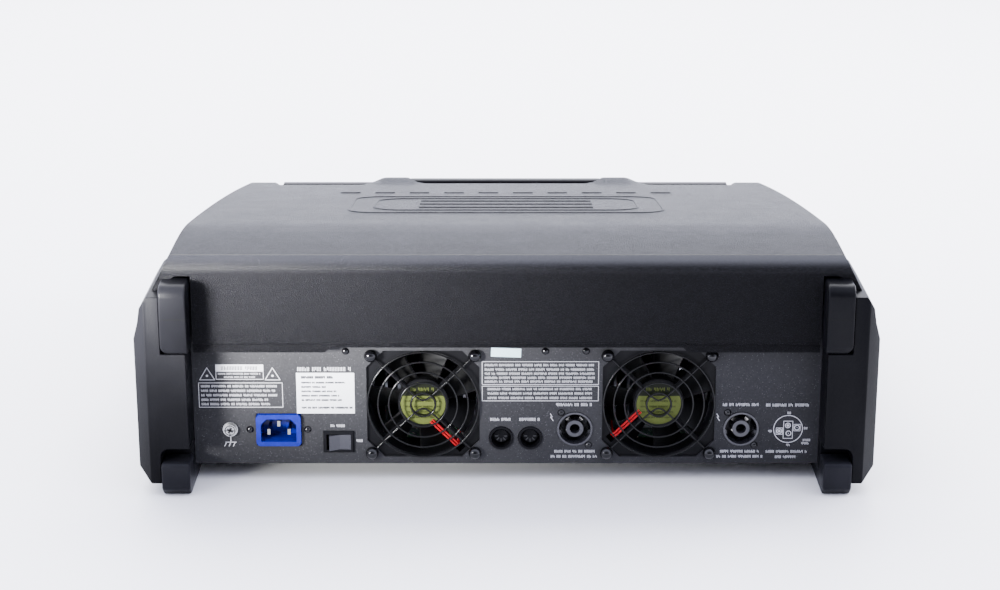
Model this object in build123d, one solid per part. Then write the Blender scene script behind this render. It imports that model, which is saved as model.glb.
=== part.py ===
from build123d import *
from math import cos, hypot, radians, sin, tan
import os

# Powered mixer with its transport lid on: a mixing console with a built-in two-channel power
# amplifier. Millimetres. X runs across the console, Y from the front (-) to the rear (+), Z up.
# The origin is the middle of the outline, on the surface that the console stands on.
# Left and right are the player's, who stands at the front and looks along +Y.

# ---- overall sizes ----
WIDTH = 505.0               # over both cheeks
DEPTH = 495.0               # rear bumpers to front handle
HEIGHT = 167.0              # top of the closed lid
SLOPE = 10.0                # fall of the lid and the control panel towards the front, degrees
FLAT_LENGTH = 60.0          # level stretch in front of the rear panel, before the slope starts

# ---- cheeks, bumpers and skids ----
CHEEK_WIDTH = 32.5
CHEEK_CLEAR = 8.8           # underside of a cheek above the surface
CHEEK_RETURN = 3.5          # how far a cheek reaches in behind the rear panel
CHEEK_REAR_BEVEL = 9.0
CHEEK_WALL = 5.0
BUMPER_PROUD = 3.0          # bumpers and skids stand this far behind the cheeks
BUMPER_WIDTH = 18.5
BUMPER_HEIGHT = 48.2
BUMPER_DEPTH = 23.0
BUMPER_ABOVE_CHEEK = 7.8
SKID_WIDTH = 19.6
SKID_HEIGHT = 12.5
SKID_HEEL_HEIGHT = 24.3
SKID_HEEL_DEPTH = 21.0
SKID_RECESS = 9.7           # open space over the heel

# ---- sheet metal ----
PAN_SHEET = 1.5
PANEL_SHEET = 2.0
TOP_SHEET = 1.5
PAN_CLEAR = 12.8            # underside of the pan above the surface
PANEL_RECESS = 31.0         # rear panel face in front of the rearmost point
CONTROL_DROP = 38.0         # control panel below the top of the lid

# ---- lid ----
LID_WALL = 3.0
LID_SIDE_DROP = 24.0
LID_SIDE_SPREAD = 15.0
LID_SIDE_INSET = 12.5       # foot of the lid's side wall, in from the cheek's outer face
LID_REAR_PROUD = 12.0       # lid's rear wall behind the rear panel
LID_APRON = 69.0            # rear wall, top to lower edge, at the sides
LID_APRON_LIFT = 3.5        # the middle of the lower edge is higher by this
LID_APRON_MIDDLE = 240.0
LID_EDGE_RADIUS = 13.0
LID_LIFT = 150.0

# ---- front handle ----
HANDLE_THICK = 11.5
HANDLE_ROUND = 4.0
HANDLE_LENGTH = 394.0
HANDLE_HEIGHT = 44.0
HANDLE_BELOW_LID = 3.0      # handle's top under the lid's front edge
GRIP_RAISE = 3.5            # the middle of the handle is higher by this
GRIP_LENGTH = 172.0
HAND_GAP = 21.5             # finger room behind the handle
HAND_WIDTH = 162.0
HANDLE_POST_X = (100.0, 185.0)
HANDLE_POST_WIDTH = 14.0
HANDLE_POST_HEIGHT = 8.0

# ---- clearances ----
SEAT_GAP = 0.3              # between pieces that only rest on or pass each other
HOLE_GAP = 0.3              # a part in its panel hole, all round
RUN_GAP = 0.05              # shaft in its bearing, all round
SINK = 0.3                  # how far welded wires melt into each other

# ---- fans ----
FAN_X = (57.7, -105.2)
FAN_Z = 56.7
FAN_SIZE = 80.0
FAN_PITCH = 71.5
FAN_THICK = 25.0
FAN_BORE_R = 38.0
FAN_FLANGE = 5.0
FAN_HUB_R = 17.5
FAN_BASE = 3.0
FAN_STRUT = 3.0
FAN_BLADES = 7
FAN_TIP_GAP = 0.8
FAN_SHAFT_R = 1.5
STATOR_R = 11.0
GUARD_WIRE_R = 1.0
GUARD_RINGS = (8.5, 16.1, 23.7, 31.2, 38.4)
GUARD_EYE_R = 3.6
FAN_SCREW_R = 1.9
FAN_SCREW_HEAD_R = 4.6
FAN_OPENING = 78.0
FAN_OPENING_CORNER = 12.0
LEAD_R = 0.7
LEAD_BEND = 2.5
LEAD_OFFSET = 5.0           # wires lie this far beside a strut
LEAD_START = 13.0           # where the wires leave the motor base, from the fan's axis
LEAD_REACH = 39.5           # where the wires turn in, from the fan's axis
LEAD_CLEAR = 9.0            # where the wires turn down, in front of the fan

# ---- rear sockets, switch and earth screw ----
INLET_X, INLET_Z = 158.0, 38.0
INLET_RIM = (31.0, 23.0)
INLET_CAVITY = (24.6, 16.6)
INLET_CORNER = 4.0
INLET_DEPTH = 17.0
INLET_PROUD = 2.5
INLET_SCREW_PITCH = 40.0
PIN_SIZE = (2.0, 4.0)
PIN_SPREAD = 7.0
PIN_RISE = 2.0
SWITCH_X, SWITCH_Z = 116.5, 29.1
SWITCH_BEZEL = (21.5, 15.8)
SWITCH_RIM = 2.2
SWITCH_PROUD = 1.8
SWITCH_DEPTH = 22.0
ROCKER_TILT = 12.0
ROCKER_GAP = 0.5
ROCKER_PIVOT_R = 1.0
EARTH_X, EARTH_Z = 191.6, 38.2
EARTH_R = 4.7
MIDI_X = (3.8, -16.4)
MIDI_Z = 31.7
MIDI_R = 8.3
MIDI_CAVITY_R = 6.9
SPEAKER_X = (-47.3, -162.6)
SPEAKER_Z = 38.4
SPEAKER_R = 12.3
SPEAKER_CAVITY_R = 11.0
SPEAKER_POST_R = 6.0
SPEAKER_DEPTH = 24.0
SPEAKER_FLANGE = (26.0, 31.0)
SPEAKER_SCREW = (9.5, 12.0)
SMALL_SCREW_R = 1.4
SMALL_HEAD_R = 2.7
TOP_SCREW_X = (110.6, -26.6, -54.6)
TOP_SCREW_Z = 95.4
LABEL = (105.0, 145.0, 49.9, 79.6)
LABEL_THICK = 0.2

# ---- control panel ----
CHANNELS = 8
CHANNEL_PITCH = 36.0
CHANNEL_START = -190.0
KNOB_R = 6.5
KNOB_HEIGHT = 13.0
KNOB_SHAFT_R = 3.0
GAIN_ROW = 22.0
TONE_ROWS = (52.0, 78.0, 104.0)
SEND_ROWS = (138.0, 164.0, 190.0)
MASTER_X = (120.0, 150.0, 180.0)
MASTER_FADER_X = (135.0, 165.0)
FADER_TRAVEL = 60.0
FADER_MID = 252.0           # middle of the travel, down the slope from the bend
FADER_CAP = (10.0, 22.0, 9.0)
FADER_STEM = (1.4, 5.0)
TRACK_WIDTH = 9.0
BOARD_DROP = 12.0           # mixer board under the control panel's sheet
BUTTON_R = 4.5
BUTTON_X = (125.0, 175.0)
BUTTON_ROW = 190.0
BUTTON_TRAVEL = 2.0
XLR_PITCH = 42.0
XLR_COUNT = 8
XLR_FLANGE = (26.0, 31.0)
XLR_R = 12.0
XLR_CAVITY_R = 9.5
XLR_DEPTH = 15.0
JACK_R = 5.6
JACK_NUT_R = 6.8
JACK_BORE_R = 3.3
JACK_DEPTH = 14.0
DISPLAY = (60.0, 26.0)

# ---- inside ----
BOARD_SHEET = 1.6
STANDOFF = 6.0
SINK_WIDTH = 76.0
SINK_LENGTH = 120.0
SINK_BASE = 6.0
FIN_HEIGHT = 45.0
FIN_SHEET = 2.0
FIN_COUNT = 9
SINK_BEHIND_FAN = 18.0
TRANSISTOR = (15.0, 5.0, 20.0)
TRANSFORMER_R = 48.0
TRANSFORMER_BORE = 14.0
TRANSFORMER_HEIGHT = 42.0
CAN_R = 15.0
CAN_HEIGHT = 42.0

# ---- places that follow from the sizes above ----
Y_REAR = DEPTH / 2
Y_FRONT = -DEPTH / 2
Y_CHEEK = Y_REAR - BUMPER_PROUD
Y_PANEL = Y_REAR - PANEL_RECESS
Y_INNER = Y_PANEL - PANEL_SHEET
Y_BEND = Y_PANEL - FLAT_LENGTH
Y_LID_REAR = Y_PANEL + LID_REAR_PROUD
Y_GRIP = Y_FRONT + HANDLE_THICK
Y_LID_FRONT = Y_GRIP + 3.5
Y_HAND = Y_GRIP + HAND_GAP
Y_PAN_FRONT = Y_HAND + 1.0
HALF = WIDTH / 2
PAN_HALF = HALF - CHEEK_WIDTH
RETURN_X = PAN_HALF - CHEEK_RETURN
LID_FOOT = HALF - LID_SIDE_INSET
LID_TOP_HALF = LID_FOOT - LID_SIDE_SPREAD
BUMPER_X = RETURN_X - 2.0
LID_NOTCH_X = BUMPER_X - 1.0
DECK_Z = HEIGHT - CONTROL_DROP
PAN_FLOOR = PAN_CLEAR + PAN_SHEET
BOARD_Z = PAN_FLOOR + STANDOFF + BOARD_SHEET
HANDLE_TOP = HEIGHT - (Y_BEND - Y_LID_FRONT) * tan(radians(SLOPE)) - HANDLE_BELOW_LID
POST_TOP = DECK_Z - TOP_SHEET - (Y_BEND - Y_PAN_FRONT) * tan(radians(SLOPE)) - 1.0

# The sloping control panel has its own frame: x across, y up the slope, z out of the panel.
SLOPE_FRAME = Plane(
    origin=(0, Y_BEND, DECK_Z),
    x_dir=(1, 0, 0),
    z_dir=(0, -sin(radians(SLOPE)), cos(radians(SLOPE))),
).location


# ---- helpers ----
def slab(x0, x1, y0, y1, z0, z1):
    """A box given by its faces."""
    box = Box(abs(x1 - x0), abs(y1 - y0), abs(z1 - z0))
    return Pos((x0 + x1) / 2, (y0 + y1) / 2, (z0 + z1) / 2) * box


def rod_y(radius, x, z, y0, y1):
    """A round bar along Y."""
    return Pos(x, (y0 + y1) / 2, z) * Rot(90, 0, 0) * Cylinder(radius, abs(y1 - y0))


def rod_z(radius, x, y, z0, z1):
    """A round bar along Z."""
    return Pos(x, y, (z0 + z1) / 2) * Cylinder(radius, abs(z1 - z0))


def prism_x(points, x0, x1):
    """A side outline of (y, z) points, drawn out from x0 to x1."""
    outline = make_face(Polyline([(x0, y, z) for y, z in points], close=True))
    return extrude(outline, x1 - x0, dir=(1, 0, 0))


def prism_y(points, y0, y1):
    """A rear outline of (x, z) points, drawn out from y0 to y1."""
    outline = make_face(Polyline([(x, y0, z) for x, z in points], close=True))
    return extrude(outline, y1 - y0, dir=(0, 1, 0))


def prism_z(points, z0, z1):
    """A plan outline of (x, y) points, drawn out from z0 to z1."""
    outline = make_face(Polyline([(x, y, z0) for x, y in points], close=True))
    return extrude(outline, z1 - z0, dir=(0, 0, 1))


def run_of_sections(section, stations):
    """A solid with straight sides through the (x, z) outline that section(y) gives at each station."""
    faces = [make_face(Polyline([(x, y, z) for x, z in section(y)], close=True)) for y in stations]
    return loft(faces, ruled=True)


def ring_y(radius, wire, x, y, z):
    """A wire ring that faces along Y."""
    return Pos(x, y, z) * Rot(90, 0, 0) * Torus(radius, wire)


def fused(shapes):
    """All the shapes as one."""
    whole = shapes[0]
    for shape in shapes[1:]:
        whole += shape
    return whole


def mirrored(shape):
    """The same shape on the other side of the console."""
    return mirror(shape, about=Plane.YZ)


def fall(y):
    """How far the slope has dropped at y."""
    return max(0.0, Y_BEND - y) * tan(radians(SLOPE))


def cheek_top(y):
    """Height of a cheek's upper edge, where the lid's side wall rests."""
    return HEIGHT - LID_SIDE_DROP - SEAT_GAP - fall(y)


def on_slope(x, down, height, shape):
    """A shape placed on the control panel, a distance down from the bend."""
    return SLOPE_FRAME * Pos(x, -down, height) * shape


# ---- casing ----
def chassis_pan():
    """Folded steel tray, open at the rear and on top, with air slots in its floor."""
    z_front = DECK_Z - TOP_SHEET - fall(Y_PAN_FRONT)
    z_deck = DECK_Z - TOP_SHEET
    outline = [
        (Y_INNER, PAN_CLEAR), (Y_INNER, z_deck), (Y_BEND, z_deck),
        (Y_PAN_FRONT, z_front), (Y_PAN_FRONT, PAN_CLEAR),
    ]
    pan = prism_x(outline, -PAN_HALF, PAN_HALF)
    inside = PAN_HALF - PAN_SHEET
    pan -= slab(-inside, inside, Y_PAN_FRONT + PAN_SHEET, Y_REAR, PAN_FLOOR, HEIGHT)
    for side in (-1, 1):
        for row in range(10):
            y = Y_PAN_FRONT + 40.0 + row * 9.0
            x = side * PAN_HALF * 0.55
            pan -= slab(x - 40.0, x + 40.0, y, y + 4.0, PAN_CLEAR - 1.0, PAN_FLOOR + 1.0)
    return pan


def fan_opening(x):
    """Square opening with cut corners in front of a fan."""
    half = FAN_OPENING / 2
    short = half - FAN_OPENING_CORNER
    corners = [
        (short, half), (half, short), (half, -short), (short, -half),
        (-short, -half), (-half, -short), (-half, short), (-short, half),
    ]
    return prism_y([(x + a, FAN_Z + b) for a, b in corners], Y_INNER - 1.0, Y_PANEL + 1.0)


def fan_corners(x):
    """The four screw places of a fan."""
    half = FAN_PITCH / 2
    return [(x + a * half, FAN_Z + b * half) for a in (-1, 1) for b in (-1, 1)]


def small_screw_places():
    """Small screws on the rear panel: inlet, speaker sockets and the panel's top row."""
    places = [(INLET_X + side * INLET_SCREW_PITCH / 2, INLET_Z) for side in (-1, 1)]
    for x in SPEAKER_X:
        places += [(x + side * SPEAKER_SCREW[0], SPEAKER_Z + side * SPEAKER_SCREW[1]) for side in (-1, 1)]
    places += [(x, TOP_SCREW_Z) for x in TOP_SCREW_X]
    return places


def rear_panel():
    """Powder-coated steel panel with its cut-outs."""
    z_top = DECK_Z - TOP_SHEET
    panel = slab(-PAN_HALF, PAN_HALF, Y_INNER, Y_PANEL, PAN_CLEAR, z_top)
    y0, y1 = Y_INNER - 1.0, Y_PANEL + 1.0
    for x in FAN_X:
        panel -= fan_opening(x)
        for a, b in fan_corners(x):
            panel -= rod_y(FAN_SCREW_R + HOLE_GAP, a, b, y0, y1)
    for a, b in small_screw_places():
        panel -= rod_y(SMALL_SCREW_R + HOLE_GAP, a, b, y0, y1)
    panel -= rod_y(EARTH_R / 2 + HOLE_GAP, EARTH_X, EARTH_Z, y0, y1)
    for x in MIDI_X:
        panel -= rod_y(MIDI_R + HOLE_GAP, x, MIDI_Z, y0, y1)
    for x in SPEAKER_X:
        panel -= rod_y(SPEAKER_R + HOLE_GAP, x, SPEAKER_Z, y0, y1)
    for x, z, size in ((INLET_X, INLET_Z, INLET_RIM), (SWITCH_X, SWITCH_Z, switch_body())):
        a, b = size[0] / 2 + HOLE_GAP, size[1] / 2 + HOLE_GAP
        panel -= slab(x - a, x + a, y0, y1, z - b, z + b)
    return panel


def control_panel():
    """Folded top sheet: level socket deck at the rear, sloping mixer surface in front of it."""
    z_front = DECK_Z - fall(Y_PAN_FRONT)
    outline = [
        (Y_PANEL, DECK_Z), (Y_BEND, DECK_Z), (Y_PAN_FRONT, z_front),
        (Y_PAN_FRONT, z_front - TOP_SHEET), (Y_BEND, DECK_Z - TOP_SHEET), (Y_PANEL, DECK_Z - TOP_SHEET),
    ]
    sheet = prism_x(outline, -PAN_HALF, PAN_HALF)
    cut = 4 * TOP_SHEET
    holes = []
    for x, down in knob_places():
        holes.append(on_slope(x, down, 0, Cylinder(KNOB_SHAFT_R + HOLE_GAP, cut)))
    for x in fader_columns():
        slot = Box(FADER_STEM[0] + 2 * HOLE_GAP, FADER_TRAVEL + FADER_STEM[1] + 2 * HOLE_GAP, cut)
        holes.append(on_slope(x, FADER_MID, 0, slot))
    for x in BUTTON_X:
        holes.append(on_slope(x, BUTTON_ROW, 0, Cylinder(BUTTON_R + HOLE_GAP, cut)))
    for x in xlr_columns():
        holes.append(rod_z(XLR_R + HOLE_GAP, x, xlr_y(), DECK_Z - cut, DECK_Z + cut))
        holes.append(rod_z(JACK_R + HOLE_GAP, x, jack_y(), DECK_Z - cut, DECK_Z + cut))
    return sheet - holes


def cheek():
    """Moulded right-hand side panel, bevelled outside, with room for its bumper and its skid."""
    stations = (Y_CHEEK, Y_BEND, Y_FRONT + 2.0)
    y_front = stations[-1]
    outline = [(Y_CHEEK, CHEEK_CLEAR)] + [(y, cheek_top(y)) for y in stations] + [(y_front, CHEEK_CLEAR)]
    body = prism_x(outline, PAN_HALF, HALF)
    body += slab(RETURN_X, PAN_HALF, Y_PANEL, Y_CHEEK, CHEEK_CLEAR, cheek_top(Y_CHEEK))
    front_edges = body.edges().filter_by(Axis.X).group_by(Axis.Y)[0]
    body = fillet(front_edges, 12.0)

    def shoulder(y):
        """Everything outside the faceted upper shoulder at y."""
        top = cheek_top(y)
        return [
            (HALF, top - 32.0), (HALF - 3.5, top - 20.0), (HALF - 5.5, top - 9.0), (HALF - 11.0, top),
            (HALF - 11.0, top + 2.0), (HALF + 5.0, top + 2.0), (HALF + 5.0, top - 32.0),
        ]

    body -= run_of_sections(shoulder, (Y_CHEEK + 1.0, Y_BEND, y_front - 1.0))
    bevel = CHEEK_REAR_BEVEL
    for y, inward in ((Y_CHEEK, -1.0), (y_front, 1.0)):
        corner = [(HALF - bevel, y), (HALF + 1.0, y), (HALF + 1.0, y + inward * bevel), (HALF, y + inward * bevel)]
        body -= prism_z(corner, 0, HEIGHT)
    keel = [(HALF - bevel, CHEEK_CLEAR), (HALF, CHEEK_CLEAR + 10.0), (HALF + 1.0, CHEEK_CLEAR + 10.0),
            (HALF + 1.0, CHEEK_CLEAR - 1.0), (HALF - bevel, CHEEK_CLEAR - 1.0)]
    body -= prism_y(keel, Y_FRONT, Y_REAR)

    hollow_stations = (Y_INNER - CHEEK_WALL, Y_BEND, y_front + 3 * CHEEK_WALL)
    hollow = [(hollow_stations[0], SKID_HEIGHT + CHEEK_WALL)]
    hollow += [(y, cheek_top(y) - CHEEK_WALL) for y in hollow_stations]
    hollow += [(hollow_stations[-1], SKID_HEIGHT + CHEEK_WALL)]
    body -= prism_x(hollow, PAN_HALF - 1.0, HALF - CHEEK_REAR_BEVEL)

    skid_side = RETURN_X + SKID_WIDTH + SEAT_GAP
    body -= slab(RETURN_X - 1.0, skid_side, Y_FRONT, Y_REAR, 0, SKID_HEIGHT)
    heel_front = Y_REAR - SKID_HEEL_DEPTH - SEAT_GAP
    recess = slab(RETURN_X - 1.0, skid_side, heel_front, Y_REAR, 0, SKID_HEEL_HEIGHT + SKID_RECESS)
    body -= fillet(recess.edges().filter_by(Axis.Y).group_by(Axis.X)[-1].sort_by(Axis.Z)[-1], 6.0)
    bumper_front = Y_REAR - BUMPER_DEPTH
    body -= slab(RETURN_X - 1.0, BUMPER_X + BUMPER_WIDTH + SEAT_GAP, bumper_front, Y_REAR,
                 bumper_foot() - SEAT_GAP, HEIGHT)
    return body


def bumper_foot():
    """Height of the lower end of a bumper."""
    return HEIGHT - LID_SIDE_DROP + BUMPER_ABOVE_CHEEK - BUMPER_HEIGHT


def bumper():
    """Right-hand corner buffer that guards the lid's edge and carries the console stood on end."""
    foot = bumper_foot()
    top = foot + BUMPER_HEIGHT
    y_front = Y_REAR - BUMPER_DEPTH
    outline = [
        (y_front, foot), (Y_CHEEK - 0.5, foot), (Y_REAR, foot + 6.4), (Y_REAR, top), (y_front, top),
    ]
    body = prism_x(outline, BUMPER_X, BUMPER_X + BUMPER_WIDTH)
    crown = body.edges().filter_by(Axis.X).group_by(Axis.Z)[-1].sort_by(Axis.Y)[-1]
    body = fillet(crown, 8.0)
    corner = body.edges().filter_by(Axis.Y).group_by(Axis.X)[-1].group_by(Axis.Z)[0]
    body = fillet(corner, 5.0)
    return body


def skid():
    """Right-hand runner under a cheek, with a heel that turns up behind the cheek."""
    y_front = Y_FRONT + 16.0
    y_heel = Y_REAR - SKID_HEEL_DEPTH
    outline = [
        (y_front, SKID_HEIGHT), (y_front, 5.0), (y_front + 12.0, 0), (Y_REAR - 6.0, 0), (Y_REAR, 6.0),
        (Y_REAR, SKID_HEEL_HEIGHT), (y_heel, SKID_HEEL_HEIGHT), (y_heel, SKID_HEIGHT),
    ]
    body = prism_x(outline, RETURN_X, RETURN_X + SKID_WIDTH)
    lip = body.edges().filter_by(Axis.X).group_by(Axis.Z)[-1].sort_by(Axis.Y)[-1]
    return fillet(lip, 3.0)


def front_handle():
    """Carrying bar across the front, raised at the hand grip."""
    half = HANDLE_LENGTH / 2
    bar = slab(-half, half, Y_FRONT, Y_GRIP, HANDLE_TOP - HANDLE_HEIGHT, HANDLE_TOP)
    bar = fillet(bar.edges().filter_by(Axis.X), HANDLE_ROUND)
    top = HANDLE_TOP + GRIP_RAISE
    grip = slab(-GRIP_LENGTH / 2, GRIP_LENGTH / 2, Y_FRONT, Y_GRIP, top - 3 * HANDLE_ROUND, top)
    return bar + fillet(grip.edges().filter_by(Axis.X).group_by(Axis.Z)[-1], HANDLE_ROUND)


def handle_posts():
    """Four blocks that hold the carrying bar off the pan."""
    posts = []
    for x in HANDLE_POST_X:
        for side in (-1, 1):
            centre = side * x
            posts.append(slab(centre - HANDLE_POST_WIDTH / 2, centre + HANDLE_POST_WIDTH / 2,
                              Y_GRIP, Y_PAN_FRONT, POST_TOP - HANDLE_POST_HEIGHT, POST_TOP))
    return posts


# ---- fans ----
def fan_frame(x, lead_side):
    """Fan housing with motor base, struts and stator; the motor base faces the rear."""
    y0, y1 = Y_INNER - FAN_THICK, Y_INNER
    half = FAN_SIZE / 2
    flange = RectangleRounded(FAN_SIZE, FAN_SIZE, 4.0)
    plate = Pos(x, 0, FAN_Z) * Rot(90, 0, 0) * extrude(flange, FAN_FLANGE)
    frame = rod_y(half, x, FAN_Z, y0, y1) + Pos(0, y1, 0) * plate + Pos(0, y0 + FAN_FLANGE, 0) * plate
    frame -= rod_y(FAN_BORE_R, x, FAN_Z, y0 - 1.0, y1 + 1.0)
    for a, b in fan_corners(x):
        frame -= rod_y(FAN_SCREW_R + HOLE_GAP, a, b, y0 - 1.0, y1 + 1.0)
    frame += rod_y(FAN_HUB_R, x, FAN_Z, y1 - FAN_BASE, y1)
    for turn in (45, 135, 225, 315):
        strut = Box(FAN_BORE_R + 1.5 - FAN_HUB_R + 2.0, FAN_BASE, FAN_STRUT)
        middle = (FAN_BORE_R + 1.5 + FAN_HUB_R - 2.0) / 2
        frame += Pos(x, y1 - FAN_BASE / 2, FAN_Z) * Rot(0, turn, 0) * Pos(middle, 0, 0) * strut
    stator_end = y0 + 7.0
    frame += rod_y(4.0, x, FAN_Z, stator_end, y1 - FAN_BASE)
    frame += rod_y(STATOR_R, x, FAN_Z, stator_end + 3.0, y1 - FAN_BASE - 1.0)
    frame -= rod_y(FAN_SHAFT_R + RUN_GAP, x, FAN_Z, stator_end - 1.0, y1 - FAN_BASE)
    notch = Box(13.0, FAN_THICK + 2.0, 6.0)
    middle = LEAD_REACH - 2.5
    place = Pos(x, (y0 + y1) / 2, FAN_Z) * Rot(0, lead_turn(lead_side), 0)
    frame -= place * Pos(middle, 0, LEAD_OFFSET) * notch
    return frame


def lead_turn(lead_side):
    """Turn about Y that points from the fan's axis to the lower corner on that side."""
    return 45 if lead_side > 0 else 135


def fan_rotor(x):
    """Impeller cup, blades and shaft."""
    y0 = Y_INNER - FAN_THICK + 1.0
    y1 = Y_INNER - FAN_BASE - 1.2
    rotor = rod_y(FAN_HUB_R - 0.5, x, FAN_Z, y0, y1) - rod_y(FAN_HUB_R - 4.0, x, FAN_Z, y0 + 2.5, y1 + 1.0)
    length = y1 - y0
    tip = rod_y(FAN_BORE_R - FAN_TIP_GAP, x, FAN_Z, y0, y1)
    for blade in range(FAN_BLADES):
        root_face = Pos(FAN_HUB_R - 2.0, 0, 0) * Rot(42, 0, 0) * (Plane.YZ * Rectangle(1.8, length))
        tip_face = Pos(FAN_BORE_R + 2.0, 0, 0) * Rot(58, 0, 0) * (Plane.YZ * Rectangle(1.4, length + 6.0))
        vane = loft([root_face, tip_face])
        turn = 360.0 * blade / FAN_BLADES
        placed = Pos(x, (y0 + y1) / 2, FAN_Z) * Rot(0, turn, 0) * Rot(90, 0, 0) * vane
        rotor += placed & tip
    rotor += rod_y(FAN_SHAFT_R, x, FAN_Z, y0 + 1.0, Y_INNER - FAN_BASE - 1.0)
    return rotor


def guard_wire(points):
    """A bent guard wire through the given points."""
    path = FilletPolyline(*points, radius=4.0)
    return sweep(Plane(path @ 0, z_dir=path % 0) * Circle(GUARD_WIRE_R), path)


def fan_guard(x):
    """Welded wire finger guard: five rings on two bent cross wires with screw eyes."""
    y_cross = Y_PANEL + GUARD_WIRE_R
    y_ring = y_cross + 2 * GUARD_WIRE_R - SINK
    parts = [ring_y(radius, GUARD_WIRE_R, x, y_ring, FAN_Z) for radius in GUARD_RINGS]
    half = FAN_PITCH / 2
    reach = GUARD_EYE_R / hypot(1, 1)
    for up in (-1, 1):
        points = [
            (x - half + reach, y_cross, FAN_Z + up * (half - reach)),
            (x, y_cross, FAN_Z + up * 3.0),
            (x + half - reach, y_cross, FAN_Z + up * (half - reach)),
        ]
        parts.append(guard_wire(points))
    parts += [ring_y(GUARD_EYE_R, GUARD_WIRE_R, a, y_cross, b) for a, b in fan_corners(x)]
    return fused(parts)


def fan_screws():
    """Eight domed screws through the guards and the panel into the fans."""
    y_seat = Y_PANEL + 2 * GUARD_WIRE_R
    screws = []
    for x in FAN_X:
        for a, b in fan_corners(x):
            dome = Pos(a, y_seat - 1.0, b) * Sphere(FAN_SCREW_HEAD_R)
            dome = dome & slab(a - 9.0, a + 9.0, y_seat, y_seat + 9.0, b - 9.0, b + 9.0)
            screws.append(dome + rod_y(FAN_SCREW_R, a, b, Y_INNER - 2 * FAN_FLANGE, y_seat))
    return screws


def fan_leads(x, lead_side):
    """Two supply wires: along a strut, in through the frame's notch and down to the amplifier board."""
    turn = radians(lead_turn(lead_side))
    out = (cos(turn), -sin(turn))
    beside = (-out[1], out[0])
    y_top = Y_INNER + LEAD_R
    y_turn = Y_INNER - FAN_THICK - LEAD_CLEAR
    wires = []
    for lane in (-1.0, 1.0):
        offset = LEAD_OFFSET + lane

        def place(reach, y):
            return (x + out[0] * reach + beside[0] * offset, y, FAN_Z + out[1] * reach + beside[1] * offset)

        corner = place(LEAD_REACH, y_turn)
        points = [place(LEAD_START, y_top), place(LEAD_REACH, y_top), corner, (corner[0], corner[1], BOARD_Z)]
        path = FilletPolyline(*points, radius=LEAD_BEND)
        wires.append(sweep(Plane(path @ 0, z_dir=path % 0) * Circle(LEAD_R), path))
    return wires


# ---- rear sockets ----
def inlet_cavity(grow, y0, y1):
    """Plug-shaped opening: a rectangle with its two upper corners cut off."""
    a, b = INLET_CAVITY[0] / 2 + grow, INLET_CAVITY[1] / 2 + grow
    cut = INLET_CORNER
    outline = [(-a, -b), (a, -b), (a, b - cut), (a - cut, b), (-a + cut, b), (-a, b - cut)]
    return prism_y([(INLET_X + x, INLET_Z + z) for x, z in outline], y0, y1)


def inlet_housing():
    """Mains inlet: blue collar through the panel, flange and body behind it."""
    a, b = INLET_RIM[0] / 2, INLET_RIM[1] / 2
    y_face = Y_PANEL + INLET_PROUD
    collar = slab(INLET_X - a, INLET_X + a, Y_INNER, y_face, INLET_Z - b, INLET_Z + b)
    collar = fillet(collar.edges().filter_by(Axis.Y), 3.0)
    flange = slab(INLET_X - 26.0, INLET_X + 26.0, Y_INNER - 3.0, Y_INNER, INLET_Z - b, INLET_Z + b)
    for side in (-1, 1):
        x = INLET_X + side * INLET_SCREW_PITCH / 2
        flange -= rod_y(SMALL_SCREW_R + HOLE_GAP, x, INLET_Z, Y_INNER - 4.0, Y_INNER + 1.0)
    y_back = y_face - INLET_DEPTH - 4.0
    body = inlet_cavity(2.5, y_back, Y_INNER)
    housing = collar + flange + body
    housing -= inlet_cavity(0, y_face - INLET_DEPTH, y_face + 1.0)
    for pin in inlet_pins():
        housing -= pin
    return housing


def inlet_pins():
    """Earth pin at the top centre, line and neutral below."""
    y_back = Y_PANEL + INLET_PROUD - INLET_DEPTH - 9.0
    y_tip = Y_PANEL + INLET_PROUD - 3.0
    pins = []
    for x, z in ((0, PIN_RISE + 2.0), (-PIN_SPREAD, -PIN_RISE), (PIN_SPREAD, -PIN_RISE)):
        a, b = PIN_SIZE[0] / 2, PIN_SIZE[1] / 2
        pins.append(slab(INLET_X + x - a, INLET_X + x + a, y_back, y_tip, INLET_Z + z - b, INLET_Z + z + b))
    return pins


def switch_body():
    """Width and height of the switch behind its bezel."""
    return (SWITCH_BEZEL[0] - 2.0, SWITCH_BEZEL[1] - 2.0)


def switch_cavity():
    """Width and height of the opening that the rocker moves in."""
    return (SWITCH_BEZEL[0] - 2 * SWITCH_RIM, SWITCH_BEZEL[1] - 2 * SWITCH_RIM)


def rocker_pivot_y():
    """Depth of the rocker's pivot."""
    return Y_PANEL - 1.5


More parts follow.
